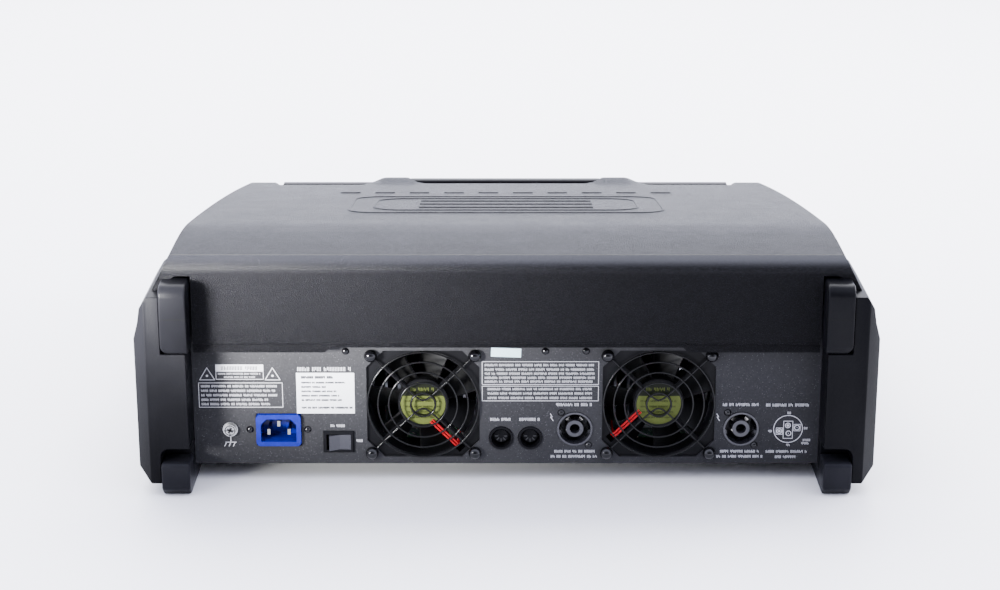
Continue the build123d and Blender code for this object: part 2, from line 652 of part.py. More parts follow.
def switch_bezel():
    """Switch housing with its bezel and two contact blades behind."""
    a, b = SWITCH_BEZEL[0] / 2, SWITCH_BEZEL[1] / 2
    c, d = switch_body()[0] / 2, switch_body()[1] / 2
    e, f = switch_cavity()[0] / 2, switch_cavity()[1] / 2
    housing = slab(SWITCH_X - a, SWITCH_X + a, Y_PANEL, Y_PANEL + SWITCH_PROUD, SWITCH_Z - b, SWITCH_Z + b)
    rim = housing.faces().sort_by(Axis.Y)[-1].edges()
    housing = chamfer(rim, 0.9)
    housing += slab(SWITCH_X - c, SWITCH_X + c, Y_PANEL - SWITCH_DEPTH, Y_PANEL, SWITCH_Z - d, SWITCH_Z + d)
    housing -= slab(SWITCH_X - e, SWITCH_X + e, Y_PANEL - 11.0, Y_REAR, SWITCH_Z - f, SWITCH_Z + f)
    housing -= rod_z(ROCKER_PIVOT_R + RUN_GAP, SWITCH_X, rocker_pivot_y(), SWITCH_Z - f - 1.2, SWITCH_Z + f + 1.2)
    for x in (-5.0, 5.0):
        blade = slab(SWITCH_X + x - 0.4, SWITCH_X + x + 0.4, Y_PANEL - SWITCH_DEPTH - 8.0,
                     Y_PANEL - SWITCH_DEPTH, SWITCH_Z - 3.0, SWITCH_Z + 3.0)
        housing += blade
    return housing


def power_rocker():
    """Rocker with a dished face, tilted with its left-hand end pressed in."""
    half = switch_cavity()[0] / 2 - ROCKER_GAP - 0.5
    tall = switch_cavity()[1] / 2 - SEAT_GAP
    outline = [(-half, 4.9), (0, 3.2), (half, 4.9), (half - 1.5, -4.5), (-half + 1.5, -4.5)]
    body = prism_z(outline, -tall, tall)
    body += rod_z(ROCKER_PIVOT_R, 0, 0, -tall - SEAT_GAP - 1.0, tall + SEAT_GAP + 1.0)
    return Pos(SWITCH_X, rocker_pivot_y(), SWITCH_Z) * Rot(0, 0, ROCKER_TILT) * body


def earth_terminal():
    """Earth screw with washer outside and nut inside."""
    washer = rod_y(EARTH_R + 0.5, EARTH_X, EARTH_Z, Y_PANEL, Y_PANEL + 0.8)
    head = rod_y(EARTH_R - 0.4, EARTH_X, EARTH_Z, Y_PANEL + 0.8, Y_PANEL + 3.2)
    head -= slab(EARTH_X - 4.0, EARTH_X + 4.0, Y_PANEL + 2.2, Y_PANEL + 4.0, EARTH_Z - 0.5, EARTH_Z + 0.5)
    head -= slab(EARTH_X - 0.5, EARTH_X + 0.5, Y_PANEL + 2.2, Y_PANEL + 4.0, EARTH_Z - 4.0, EARTH_Z + 4.0)
    shank = rod_y(EARTH_R / 2, EARTH_X, EARTH_Z, Y_INNER - 7.0, Y_PANEL + 0.8)
    hexagon = Pos(EARTH_X, Y_INNER, EARTH_Z) * Rot(90, 0, 0) * extrude(RegularPolygon(EARTH_R, 6), 3.0)
    return washer + head + shank + hexagon


def midi_socket(x):
    """Five-pole round socket with its solder block behind the panel."""
    y_face = Y_PANEL + 1.0
    block = slab(x - 9.5, x + 9.5, Y_INNER - 12.0, Y_INNER, MIDI_Z - 9.5, MIDI_Z + 9.5)
    body = block + rod_y(MIDI_R, x, MIDI_Z, Y_INNER, y_face)
    body -= rod_y(MIDI_CAVITY_R, x, MIDI_Z, y_face - 9.0, y_face + 1.0)
    body += rod_y(4.7, x, MIDI_Z, y_face - 9.0, y_face - 5.0)
    for pole in range(5):
        turn = radians(45 * pole)
        a, b = x + 5.8 * cos(turn), MIDI_Z + 5.8 * sin(turn)
        body -= rod_y(0.7, a, b, y_face - 11.5, y_face - 8.0)
    return body


def speaker_socket(x):
    """Round locking speaker socket, mounted from behind the panel."""
    a, b = SPEAKER_FLANGE[0] / 2, SPEAKER_FLANGE[1] / 2
    y_face = Y_PANEL + 0.8
    flange = slab(x - a, x + a, Y_INNER - 2.5, Y_INNER, SPEAKER_Z - b, SPEAKER_Z + b)
    for side in (-1, 1):
        flange -= rod_y(SMALL_SCREW_R + HOLE_GAP, x + side * SPEAKER_SCREW[0],
                        SPEAKER_Z + side * SPEAKER_SCREW[1], Y_INNER - 3.5, Y_INNER + 1.0)
    y_back = y_face - SPEAKER_DEPTH
    body = flange + rod_y(SPEAKER_R, x, SPEAKER_Z, y_back - 3.0, y_face)
    body -= rod_y(SPEAKER_CAVITY_R, x, SPEAKER_Z, y_back, y_face + 1.0)
    body += rod_y(SPEAKER_POST_R, x, SPEAKER_Z, y_back - 1.0, y_face - 1.0)
    body -= rod_y(SPEAKER_POST_R - 2.5, x, SPEAKER_Z, y_back + 4.0, y_face)
    for turn in (20, 160):
        key = Box(1.6, SPEAKER_DEPTH - 6.0, 3.0)
        middle = Pos(x, y_back + SPEAKER_DEPTH / 2 - 2.0, SPEAKER_Z)
        body += middle * Rot(0, turn, 0) * Pos(SPEAKER_CAVITY_R - 0.3, 0, 0) * key
    return body


def speaker_contacts():
    """Four contact strips in each speaker socket, on the wall of its cavity."""
    strips = []
    y_back = Y_PANEL + 0.8 - SPEAKER_DEPTH
    for x in SPEAKER_X:
        for turn in (45, 135, 225, 315):
            strip = Pos(SPEAKER_POST_R + 0.5, 0, 0) * Box(1.0, 15.0, 3.0)
            strips.append(Pos(x, y_back + 7.5, SPEAKER_Z) * Rot(0, turn, 0) * strip)
    return strips


def panel_screws():
    """Small domed screws on the rear panel."""
    screws = []
    for a, b in small_screw_places():
        head = Pos(a, Y_PANEL - 0.9, b) * Sphere(SMALL_HEAD_R)
        head = head & slab(a - 5.0, a + 5.0, Y_PANEL, Y_PANEL + 5.0, b - 5.0, b + 5.0)
        screws.append(head + rod_y(SMALL_SCREW_R, a, b, Y_INNER - 5.0, Y_PANEL))
    return screws


def rating_label():
    """Adhesive label beside the first fan."""
    x0, x1, z0, z1 = LABEL
    return slab(x0, x1, Y_PANEL, Y_PANEL + LABEL_THICK, z0, z1)


# ---- control surface ----
def channel_columns():
    """Centre line of each input channel, from the left."""
    return [CHANNEL_START + channel * CHANNEL_PITCH for channel in range(CHANNELS)]


def fader_columns():
    """Centre line of each fader: the channels, then the two masters."""
    return channel_columns() + list(MASTER_FADER_X)


def knob_places():
    """Every rotary control, as its place across and its distance down the slope."""
    return gain_places() + tone_places() + send_places()


def gain_places():
    """Input gain, one for each channel."""
    return [(x, GAIN_ROW) for x in channel_columns()]


def tone_places():
    """Treble, middle and bass for each channel."""
    return [(x, down) for x in channel_columns() for down in TONE_ROWS]


def send_places():
    """Sends and balance for each channel, and the master section's level controls."""
    channel = [(x, down) for x in channel_columns() for down in SEND_ROWS]
    return channel + [(x, down) for x in MASTER_X for down in SEND_ROWS[:2]]


def knob():
    """Rotary knob with a skirt, a flat-sided grip and its shaft down to the board."""
    skirt = Pos(0, 0, SEAT_GAP + 1.5) * Cylinder(KNOB_R, 3.0)
    grip = Pos(0, 0, SEAT_GAP + KNOB_HEIGHT / 2) * Cylinder(KNOB_R - 1.0, KNOB_HEIGHT)
    grip -= Pos(0, KNOB_R - 1.2, SEAT_GAP + KNOB_HEIGHT - 1.0) * Box(1.2, 4.0, 4.0)
    depth = TOP_SHEET + BOARD_DROP
    shaft = Pos(0, 0, (SEAT_GAP + 1.0 - depth) / 2) * Cylinder(KNOB_SHAFT_R, depth + SEAT_GAP + 1.0)
    return skirt + grip + shaft


def knobs(places):
    """A separate knob at each place."""
    return [on_slope(x, down, 0, knob()) for x, down in places]


def fader_tracks():
    """Slide potentiometers between the control panel and the mixer board."""
    tracks = []
    for x in fader_columns():
        length = FADER_TRAVEL + 18.0
        track = Pos(0, 0, -TOP_SHEET - BOARD_DROP / 2) * Box(TRACK_WIDTH, length, BOARD_DROP)
        groove = Box(FADER_STEM[0] + 2 * HOLE_GAP, FADER_TRAVEL + FADER_STEM[1] + 2 * HOLE_GAP, 9.0)
        track -= Pos(0, 0, -TOP_SHEET - 4.5) * groove
        tracks.append(on_slope(x, FADER_MID, 0, track))
    return tracks


def fader(x):
    """Fader cap and stem at the bottom of its travel."""
    width, length, height = FADER_CAP
    base = Rectangle(width, length)
    crown = Pos(0, 0, height - 1.0) * Rectangle(width - 2.0, length - 8.0)
    cap = Pos(0, 0, 1.0) * loft([base, crown])
    cap -= Pos(0, 0, height) * Box(width + 1.0, 1.2, 1.6)
    stem = Pos(0, 0, -3.0) * Box(FADER_STEM[0], FADER_STEM[1], 9.0)
    return on_slope(x, FADER_MID + FADER_TRAVEL / 2, 0, cap + stem)


def mixer_board():
    """Circuit board under the control panel."""
    length = (Y_BEND - Y_PAN_FRONT) / cos(radians(SLOPE))
    board = Box(2 * PAN_HALF - 24.0, length - 30.0, BOARD_SHEET)
    height = -TOP_SHEET - BOARD_DROP - BOARD_SHEET / 2
    return on_slope(0, length / 2 - 4.0, height, board)


def push_button(x):
    """Round push button standing in its hole in the control panel."""
    depth = TOP_SHEET + BOARD_DROP - BUTTON_TRAVEL - 1.0
    cap = Pos(0, 0, (4.0 - depth) / 2) * Cylinder(BUTTON_R, depth + 4.0)
    return on_slope(x, BUTTON_ROW, 0, chamfer(cap.faces().sort_by(Axis.Z)[-1].edges(), 0.8))


def effects_display():
    """Read-out window of the effects section."""
    width, length = DISPLAY
    return on_slope(sum(MASTER_X) / len(MASTER_X), 78.0, 1.0, Box(width, length, 2.0))


def xlr_columns():
    """Centre line of each input socket."""
    return [(column - (XLR_COUNT - 1) / 2) * XLR_PITCH for column in range(XLR_COUNT)]


def jack_y():
    """Line of the jack sockets, close to the rear edge of the deck."""
    return Y_INNER - JACK_NUT_R - 1.0


def xlr_y():
    """Line of the three-pole input sockets, in front of the jacks."""
    return jack_y() - JACK_NUT_R - 1.0 - XLR_FLANGE[1] / 2


def input_sockets():
    """Three-pole input sockets on the deck."""
    sockets = []
    y = xlr_y()
    for x in xlr_columns():
        a, b = XLR_FLANGE[0] / 2, XLR_FLANGE[1] / 2
        top = DECK_Z + 1.8
        flange = slab(x - a, x + a, y - b, y + b, DECK_Z, top)
        flange = fillet(flange.edges().filter_by(Axis.Z), 3.0)
        socket = flange + rod_z(XLR_R, x, y, top - XLR_DEPTH - 6.0, DECK_Z)
        socket -= rod_z(XLR_CAVITY_R, x, y, top - XLR_DEPTH, top + 1.0)
        for turn in (90, 210, 330):
            a, b = x + 4.5 * cos(radians(turn)), y + 4.5 * sin(radians(turn))
            socket -= rod_z(1.3, a, b, top - XLR_DEPTH - 3.0, top - XLR_DEPTH)
        sockets.append(socket)
    return sockets


def jack_sockets():
    """Line jacks with their ring nuts."""
    sockets = []
    for x in xlr_columns():
        barrel = rod_z(JACK_R, x, jack_y(), DECK_Z - JACK_DEPTH - 3.0, DECK_Z + 2.0)
        nut = rod_z(JACK_NUT_R, x, jack_y(), DECK_Z, DECK_Z + 2.0)
        sockets.append(barrel + nut - rod_z(JACK_BORE_R, x, jack_y(), DECK_Z - JACK_DEPTH, DECK_Z + 3.0))
    return sockets


# ---- inside the pan ----
def sink_y():
    """Rear and front ends of the heat sinks."""
    rear = Y_INNER - FAN_THICK - SINK_BEHIND_FAN
    return rear, rear - SINK_LENGTH


def amp_board():
    """Amplifier circuit board on its standoffs."""
    rear, front = sink_y()
    x0 = min(FAN_X) - SINK_WIDTH / 2 - 12.0
    x1 = max(FAN_X) + SINK_WIDTH / 2 + 6.0
    y0, y1 = front - 15.0, rear + 15.0
    pieces = [slab(x0, x1, y0, y1, BOARD_Z - BOARD_SHEET, BOARD_Z)]
    for x in (x0 + 5.0, (x0 + x1) / 2, x1 - 5.0):
        for y in (y0 + 5.0, y1 - 5.0):
            pieces.append(rod_z(3.0, x, y, PAN_FLOOR, BOARD_Z - BOARD_SHEET))
    return pieces


def heat_sinks():
    """One finned aluminium block behind each fan."""
    rear, front = sink_y()
    blocks = []
    for x in FAN_X:
        x0, x1 = x - SINK_WIDTH / 2, x + SINK_WIDTH / 2
        block = slab(x0, x1, front, rear, BOARD_Z, BOARD_Z + SINK_BASE)
        pitch = (SINK_WIDTH - FIN_SHEET) / (FIN_COUNT - 1)
        for fin in range(FIN_COUNT):
            left = x0 + fin * pitch
            block += slab(left, left + FIN_SHEET, front, rear, BOARD_Z + SINK_BASE, BOARD_Z + FIN_HEIGHT)
        blocks.append(block)
    return blocks


def power_transistors():
    """Four output devices on the outer face of each heat sink, with their legs in the board."""
    rear, front = sink_y()
    width, thick, tall = TRANSISTOR
    devices = []
    for x in FAN_X:
        face = x - SINK_WIDTH / 2
        for place in range(4):
            y = front + (place + 0.5) * SINK_LENGTH / 4
            device = slab(face - thick, face, y - width / 2, y + width / 2, BOARD_Z + 8.0, BOARD_Z + 8.0 + tall)
            for leg in (-5.0, 0, 5.0):
                device += slab(face - 3.0, face - 2.0, y + leg - 0.5, y + leg + 0.5, BOARD_Z, BOARD_Z + 8.0)
            devices.append(device)
    return devices


def transformer():
    """Ring-core mains transformer with its clamping dish and bolt."""
    x = (INLET_X + SWITCH_X) / 2 + 25.0
    y = sink_y()[0] - TRANSFORMER_R
    top = PAN_FLOOR + TRANSFORMER_HEIGHT
    core = rod_z(TRANSFORMER_R, x, y, PAN_FLOOR, top)
    core = fillet(core.edges(), 9.0) - rod_z(TRANSFORMER_BORE, x, y, PAN_FLOOR - 1.0, top + 1.0)
    dish = rod_z(TRANSFORMER_BORE + 12.0, x, y, top, top + 1.5)
    bolt = rod_z(3.0, x, y, PAN_FLOOR, top + 1.5) + rod_z(6.0, x, y, top + 1.5, top + 6.0)
    return [core, dish + bolt]


def capacitors():
    """Four reservoir capacitors between the heat sinks."""
    middle = sum(FAN_X) / 2
    y = sum(sink_y()) / 2
    cans = []
    for a in (-1, 1):
        for b in (-1, 1):
            can = rod_z(CAN_R, middle + a * (CAN_R + 4.0), y + b * (CAN_R + 6.0), BOARD_Z, BOARD_Z + CAN_HEIGHT)
            cans.append(chamfer(can.faces().sort_by(Axis.Z)[-1].edges(), 1.0))
    return cans


# ---- lid ----
def lid_section(wall):
    """Rear outline of the lid as a function of y; the inner one is smaller by the wall."""
    side = hypot(LID_SIDE_DROP, LID_SIDE_SPREAD) / LID_SIDE_DROP * wall
    lean = LID_SIDE_SPREAD / LID_SIDE_DROP

    def outline(y):
        top = HEIGHT - wall - fall(y)
        foot = HEIGHT - LID_SIDE_DROP - fall(y) - (1.0 if wall else 0.0)
        a = LID_TOP_HALF + lean * (HEIGHT - fall(y) - top) - side
        b = LID_TOP_HALF + lean * (HEIGHT - fall(y) - foot) - side
        return [(-b, foot), (-a, top), (a, top), (b, foot)]

    return outline


def lid_shell():
    """Moulded transport lid with its rear apron, corner notches and the scoop behind the handle."""
    body = run_of_sections(lid_section(0), (Y_LID_REAR, Y_BEND, Y_LID_FRONT))
    rear_edge = body.edges().filter_by(Axis.X).group_by(Axis.Y)[-1].sort_by(Axis.Z)[-1]
    body = fillet(rear_edge, LID_EDGE_RADIUS)
    inside = run_of_sections(lid_section(LID_WALL), (Y_LID_REAR - LID_WALL, Y_BEND, Y_LID_FRONT + LID_WALL))
    inner_edge = inside.edges().filter_by(Axis.X).group_by(Axis.Y)[-1].sort_by(Axis.Z)[-1]
    inside = fillet(inner_edge, LID_EDGE_RADIUS - LID_WALL)
    half = HAND_WIDTH / 2
    inside -= slab(-half - LID_WALL, half + LID_WALL, Y_FRONT, Y_HAND + LID_WALL, 0, HEIGHT)
    body -= inside
    body -= slab(-half, half, Y_FRONT, Y_HAND, 0, HEIGHT)

    apron_foot = HEIGHT - LID_APRON
    y0, y1 = Y_LID_REAR - LID_WALL, Y_LID_REAR
    apron = slab(-LID_NOTCH_X, LID_NOTCH_X, y0, y1, apron_foot, HEIGHT - LID_SIDE_DROP + 1.0)
    middle = LID_APRON_MIDDLE / 2
    apron -= slab(-middle, middle, y0 - 1.0, y1 + 1.0, apron_foot - 1.0, apron_foot + LID_APRON_LIFT)
    body += apron
    notch_side = BUMPER_X + BUMPER_WIDTH + 1.5
    notch_top = bumper_foot() + BUMPER_HEIGHT + 2.5
    notch = slab(LID_NOTCH_X, notch_side, Y_REAR - BUMPER_DEPTH - 1.0, Y_REAR, apron_foot - 1.0, notch_top)
    return body - notch - mirrored(notch)


def lid_latch(side):
    """Sliding catch inside the lid's front wall, with its thumb piece outside."""
    x = side * 150.0
    foot = HEIGHT - LID_SIDE_DROP - fall(Y_LID_FRONT)
    back = Y_LID_FRONT + LID_WALL + SEAT_GAP
    catch = slab(x - 14.0, x + 14.0, back, back + 2.5, foot + 2.0, foot + 16.0)
    hook = slab(x - 10.0, x + 10.0, back, back + 8.0, foot + 2.0, foot + 4.5)
    return catch + hook


# ---- everything, as node name and shape ----
def nodes():
    """Each node's name and its shape, or a list of its separate solids."""
    yield "chassis_pan", chassis_pan()
    yield "rear_panel", rear_panel()
    yield "control_panel", control_panel()
    for name, maker in (("cheek", cheek), ("bumper", bumper), ("skid", skid)):
        shape = maker()
        yield name + "_right", shape
        yield name + "_left", mirrored(shape)
    yield "front_handle", front_handle()
    yield "handle_posts", handle_posts()
    for hand, x, lead_side in (("right", FAN_X[0], -1), ("left", FAN_X[1], 1)):
        yield "fan_frame_" + hand, fan_frame(x, lead_side)
        yield "fan_rotor_" + hand, fan_rotor(x)
        yield "fan_guard_" + hand, fan_guard(x)
        yield "fan_leads_" + hand, fan_leads(x, lead_side)
    yield "fan_screws", fan_screws()
    yield "inlet_housing", inlet_housing()
    yield "inlet_pins", inlet_pins()
    yield "switch_housing", switch_bezel()
    yield "power_rocker", power_rocker()
    yield "earth_terminal", earth_terminal()
    yield "midi_in_socket", midi_socket(MIDI_X[0])
    yield "midi_out_socket", midi_socket(MIDI_X[1])
    yield "speaker_socket_right", speaker_socket(SPEAKER_X[0])
    yield "speaker_socket_left", speaker_socket(SPEAKER_X[1])
    yield "speaker_contacts", speaker_contacts()
    yield "panel_screws", panel_screws()
    yield "rating_label", rating_label()
    yield "gain_knobs", knobs(gain_places())
    yield "tone_knobs", knobs(tone_places())
    yield "send_knobs", knobs(send_places())
    yield "fader_tracks", fader_tracks()
    for number, x in enumerate(channel_columns(), 1):
        yield f"channel_fader_{number}", fader(x)
    yield "master_fader_left", fader(MASTER_FADER_X[0])
    yield "master_fader_right", fader(MASTER_FADER_X[1])
    yield "phantom_button", push_button(BUTTON_X[0])
    yield "standby_button", push_button(BUTTON_X[1])
    yield "effects_display", effects_display()
    yield "input_sockets", input_sockets()
    yield "jack_sockets", jack_sockets()
    yield "mixer_board", mixer_board()
    yield "amp_board", amp_board()
    yield "heat_sinks", heat_sinks()
    yield "power_transistors", power_transistors()
    yield "transformer", transformer()
    yield "capacitors", capacitors()
    yield "lid_shell", lid_shell()
    yield "lid_latch_right", lid_latch(1)
    yield "lid_latch_left", lid_latch(-1)


if __name__ == "__main__":
    os.makedirs("parts", exist_ok=True)
    for node, shape in nodes():
        solid = Compound(shape) if isinstance(shape, list) else shape
        export_step(solid, f"parts/{node}.step")
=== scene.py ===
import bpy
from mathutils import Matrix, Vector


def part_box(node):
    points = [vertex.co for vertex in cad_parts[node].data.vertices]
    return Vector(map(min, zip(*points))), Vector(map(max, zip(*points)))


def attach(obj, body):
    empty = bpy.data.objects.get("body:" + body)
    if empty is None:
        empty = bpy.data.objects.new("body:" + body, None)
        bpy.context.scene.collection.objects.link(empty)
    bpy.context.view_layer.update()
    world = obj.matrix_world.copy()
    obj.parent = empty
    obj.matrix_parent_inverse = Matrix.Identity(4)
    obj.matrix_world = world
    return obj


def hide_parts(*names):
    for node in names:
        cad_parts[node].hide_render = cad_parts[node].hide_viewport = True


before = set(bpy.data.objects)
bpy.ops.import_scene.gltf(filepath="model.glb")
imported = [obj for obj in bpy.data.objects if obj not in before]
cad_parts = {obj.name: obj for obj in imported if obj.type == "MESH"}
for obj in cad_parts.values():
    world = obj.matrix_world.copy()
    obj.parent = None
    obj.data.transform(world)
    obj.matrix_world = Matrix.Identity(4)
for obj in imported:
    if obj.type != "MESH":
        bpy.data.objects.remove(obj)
"""Looks of a powered mixer with its transport lid on, built over the fixed CAD frame.

Lengths in the sub-assembly classes are millimetres; meshes are written in metres.
X runs across the console, Y from its front to its rear panel, Z up.
"""
import logging
import math
from dataclasses import dataclass, field
from enum import Enum
from typing import Optional, Sequence, Union

import bmesh
import bpy
import numpy as np

LOG = logging.getLogger("mixer")
MM = 0.001
CONSOLE = "console"
HANDS = ("right", "left")
LABEL = "label_paper"
METAL = "contact_metal"
WELD = 0.0005        # points nearer than this become one
FINE_WELD = 0.00001  # the same, for print
SINK = 0.02          # how far print and stickers reach into what carries them
SHARE, FIRST, SECOND, MIXED = 0, 6, 7, 2  # sockets of a node that mixes colours
Array = np.ndarray
Colour = tuple[float, float, float]
Place = Sequence[float]
Term = Union["Value", float]
Feed = Union["Value", bpy.types.NodeSocket, float, Sequence[float]]


# ---------------------------------------------------------------- shader maths
class Value:
    """A shader socket that can be used in sums; each sum adds its Math node."""

    def __init__(self, nodes: "Nodes", socket: bpy.types.NodeSocket) -> None:
        """Wraps a socket.

        Args:
            nodes: the tree that the socket belongs to.
            socket: the output that carries the number.
        """
        self.nodes = nodes
        self.socket = socket

    def _sum(self, operation: str, *terms: Term) -> "Value":
        """Result of one Math node on the given terms."""
        made = self.nodes.node("ShaderNodeMath", {"operation": operation}, dict(enumerate(terms)))
        return Value(self.nodes, made.outputs[0])

    def __add__(self, other: Term) -> "Value":
        """Self plus other."""
        return self._sum("ADD", self, other)

    def __radd__(self, other: float) -> "Value":
        """Other plus self."""
        return self._sum("ADD", other, self)

    def __sub__(self, other: Term) -> "Value":
        """Self less other."""
        return self._sum("SUBTRACT", self, other)

    def __rsub__(self, other: float) -> "Value":
        """Other less self."""
        return self._sum("SUBTRACT", other, self)

    def __mul__(self, other: Term) -> "Value":
        """Self times other."""
        return self._sum("MULTIPLY", self, other)

    def __rmul__(self, other: float) -> "Value":
        """Other times self."""
        return self._sum("MULTIPLY", other, self)

    def size(self) -> "Value":
        """Distance from nought."""
        return self._sum("ABSOLUTE", self)

    def fraction(self) -> "Value":
        """What is left of the value without its whole part."""
        return self._sum("FRACT", self)

    def over(self, limit: float) -> "Value":
        """One where self is above the limit, nought elsewhere."""
        return self._sum("GREATER_THAN", self, limit)

    def under(self, limit: float) -> "Value":
        """One where self is below the limit, nought elsewhere."""
        return self._sum("LESS_THAN", self, limit)

    def ramp(self, low: float, high: float) -> "Value":
        """Smooth step: nought below low, one above high."""
        settings = {"interpolation_type": "SMOOTHSTEP"}
        made = self.nodes.node("ShaderNodeMapRange", settings, {0: self, 1: low, 2: high, 3: 0.0, 4: 1.0})
        return Value(self.nodes, made.outputs[0])


class Nodes:
    """A node tree under construction."""

    def __init__(self, tree: bpy.types.NodeTree) -> None:
        """Empties a tree.

        Args:
            tree: the tree of a material or of the surroundings.
        """
        self.tree = tree
        tree.nodes.clear()

    def join(self, target: bpy.types.NodeSocket, value: Feed) -> None:
        """Links or sets one input."""
        source = value.socket if isinstance(value, Value) else value
        if isinstance(source, bpy.types.NodeSocket):
            self.tree.links.new(source, target)
        else:
            target.default_value = source

    def node(
        self, kind: str, settings: Optional[dict] = None, inputs: Optional[dict] = None,
    ) -> bpy.types.Node:
        """Adds a node.

        Args:
            kind: the node's type.
            settings: its properties, set first.
            inputs: values or links, by socket name or number.

        Returns:
            The node.
        """
        made = self.tree.nodes.new(kind)
        for key, value in (settings or {}).items():
            setattr(made, key, value)
        for key, value in (inputs or {}).items():
            self.join(made.inputs[key], value)
        return made

    def mix(
        self, share: Term, first: Union[Colour, bpy.types.NodeSocket], second: Colour,
    ) -> bpy.types.NodeSocket:
        """Colour between first (share nought) and second (share one)."""
        start = first if isinstance(first, bpy.types.NodeSocket) else (*first, 1.0)
        inputs = {SHARE: share, FIRST: start, SECOND: (*second, 1.0)}
        return self.node("ShaderNodeMix", {"data_type": "RGBA"}, inputs).outputs[MIXED]


class Paint(Nodes):
    """A procedural material under construction."""

    def __init__(self, name: str) -> None:
        """Starts a material with a plain surface shader.

        Args:
            name: the material's name.
        """
        self.material = bpy.data.materials.new(name)
        self.material.use_nodes = True
        super().__init__(self.material.node_tree)
        self.shader = self.node("ShaderNodeBsdfPrincipled")
        self.node("ShaderNodeOutputMaterial", None, {0: self.shader.outputs[0]})
        self.place = self.node("ShaderNodeTexCoord").outputs["Object"]

    def feed(self, name: str, value: Feed) -> None:
        """Sets or links one input of the surface shader."""
        self.join(self.shader.inputs[name], value)

    def finished(self, colour: Feed, rough: Feed, specular: float = 0.5) -> bpy.types.Material:
        """The material, once it has its colour, roughness and specular level."""
        self.feed("Base Color", colour)
        self.feed("Roughness", rough)
        self.feed("Specular IOR Level", specular)
        return self.material

    def axes(self) -> tuple[Value, Value, Value]:
        """The three object coordinates, in metres."""
        parts = self.node("ShaderNodeSeparateXYZ", None, {0: self.place})
        return tuple(Value(self, socket) for socket in parts.outputs)

    def noise(self, scale: float, detail: float = 2.0, rough: float = 0.5) -> Value:
        """Cloudy noise from nought to one, in cycles a metre."""
        made = self.node("ShaderNodeTexNoise", None,
                         {"Vector": self.place, "Scale": scale, "Detail": detail, "Roughness": rough})
        return Value(self, made.outputs[0])

    def cells(self, scale: float, feature: str = "F1", distance: str = "Distance") -> Value:
        """Cell pattern, in cells a metre."""
        made = self.node("ShaderNodeTexVoronoi", {"feature": feature}, {"Vector": self.place, "Scale": scale})
        return Value(self, made.outputs[distance])

    def bump(self, height: Value, depth: float) -> None:
        """Raises the surface by height times depth, in metres."""
        made = self.node("ShaderNodeBump", None, {"Strength": 1.0, "Distance": depth, "Height": height})
        self.feed("Normal", made.outputs[0])


# ---------------------------------------------------------------- finishes
@dataclass(frozen=True)
class Moulding:
    """Moulded plastic with a spark-eroded grain.

    Grain height is 0.6 of smooth cells plus half a fine noise, less six in the parting seam, if there is
    one: a line round the piece at the height seam_z, in metres.
    """

    name: str
    dark: Colour
    light: Colour
    rough: float
    grain: float = 1400.0
    depth: float = 0.00006
    wear: float = 0.08
    specular: float = 0.09
    seam_z: Optional[float] = None

    def material(self) -> bpy.types.Material:
        """Builds the material."""
        paint = Paint(self.name)
        cloud = paint.noise(9.0, 4.0, 0.6)
        grain = paint.cells(self.grain, "SMOOTH_F1")
        fine = paint.noise(self.grain * 1.7, 3.0, 0.7)
        share = cloud * 0.7 + fine * 0.3
        scuff = paint.noise(160.0, 5.0, 0.75).ramp(0.62, 0.8)
        colour = paint.mix((share + scuff * self.wear).ramp(0.25, 0.75), self.dark, self.light)
        height = grain * 0.6 + fine * 0.5
        if self.seam_z is not None:
            _, _, z = paint.axes()
            seam = (z - self.seam_z).size().under(0.00028)
            colour = paint.mix(seam, colour, (0.004, 0.004, 0.004))
            height = height - seam * 6.0
        paint.bump(height, self.depth)
        rough = (cloud - 0.5) * 0.12 + (fine - 0.5) * 0.1 + self.rough
        return paint.finished(colour, rough, self.specular)


@dataclass(frozen=True)
class LeatherGrain:
    """Black moulding with a pebbled leather grain and a smoother, glossier rear shoulder.

    Pebble height is the distance to the nearest cell border, rounded off, plus a fine tooth. The
    shoulder's share is the ramp of y over its two places times the ramp of z over its own.
    """

    name: str
    dark: Colour = (0.0010, 0.0010, 0.0013)
    light: Colour = (0.0085, 0.0083, 0.0105)
    rough: float = 0.30
    pebbles: float = 940.0
    depth: float = 0.0006
    specular: float = 0.07
    gloss: float = 1.0
    shoulder_y: tuple[float, float] = (0.2212, 0.2228)
    shoulder_z: tuple[float, float] = (0.1540, 0.1595)

    def material(self) -> bpy.types.Material:
        """Builds the material."""
        paint = Paint(self.name)
        edge = paint.cells(self.pebbles, "DISTANCE_TO_EDGE")
        pebble = edge.ramp(0.0, 0.42)
        small = paint.cells(self.pebbles * 2.3, "DISTANCE_TO_EDGE").ramp(0.0, 0.4)
        tooth = paint.noise(self.pebbles * 4.0, 2.0, 0.6)
        cloud = paint.noise(5.0, 3.0, 0.55)
        shine = paint.noise(38.0, 3.0, 0.6)
        colour = paint.mix((pebble * 0.65 + cloud * 0.35).ramp(0.2, 0.9), self.dark, self.light)
        _, y, z = paint.axes()
        shoulder = y.ramp(*self.shoulder_y) * z.ramp(*self.shoulder_z)
        paint.feed("Coat Weight", shoulder * self.gloss)
        paint.feed("Coat Roughness", 0.2)
        paint.bump((pebble * 0.7 + small * 0.25 + tooth * 0.12) * (1.0 - shoulder * 0.8), self.depth)
        rough = (1.0 - pebble) * 0.16 + (shine - 0.5) * 0.10 + self.rough
        return paint.finished(colour, rough, self.specular)


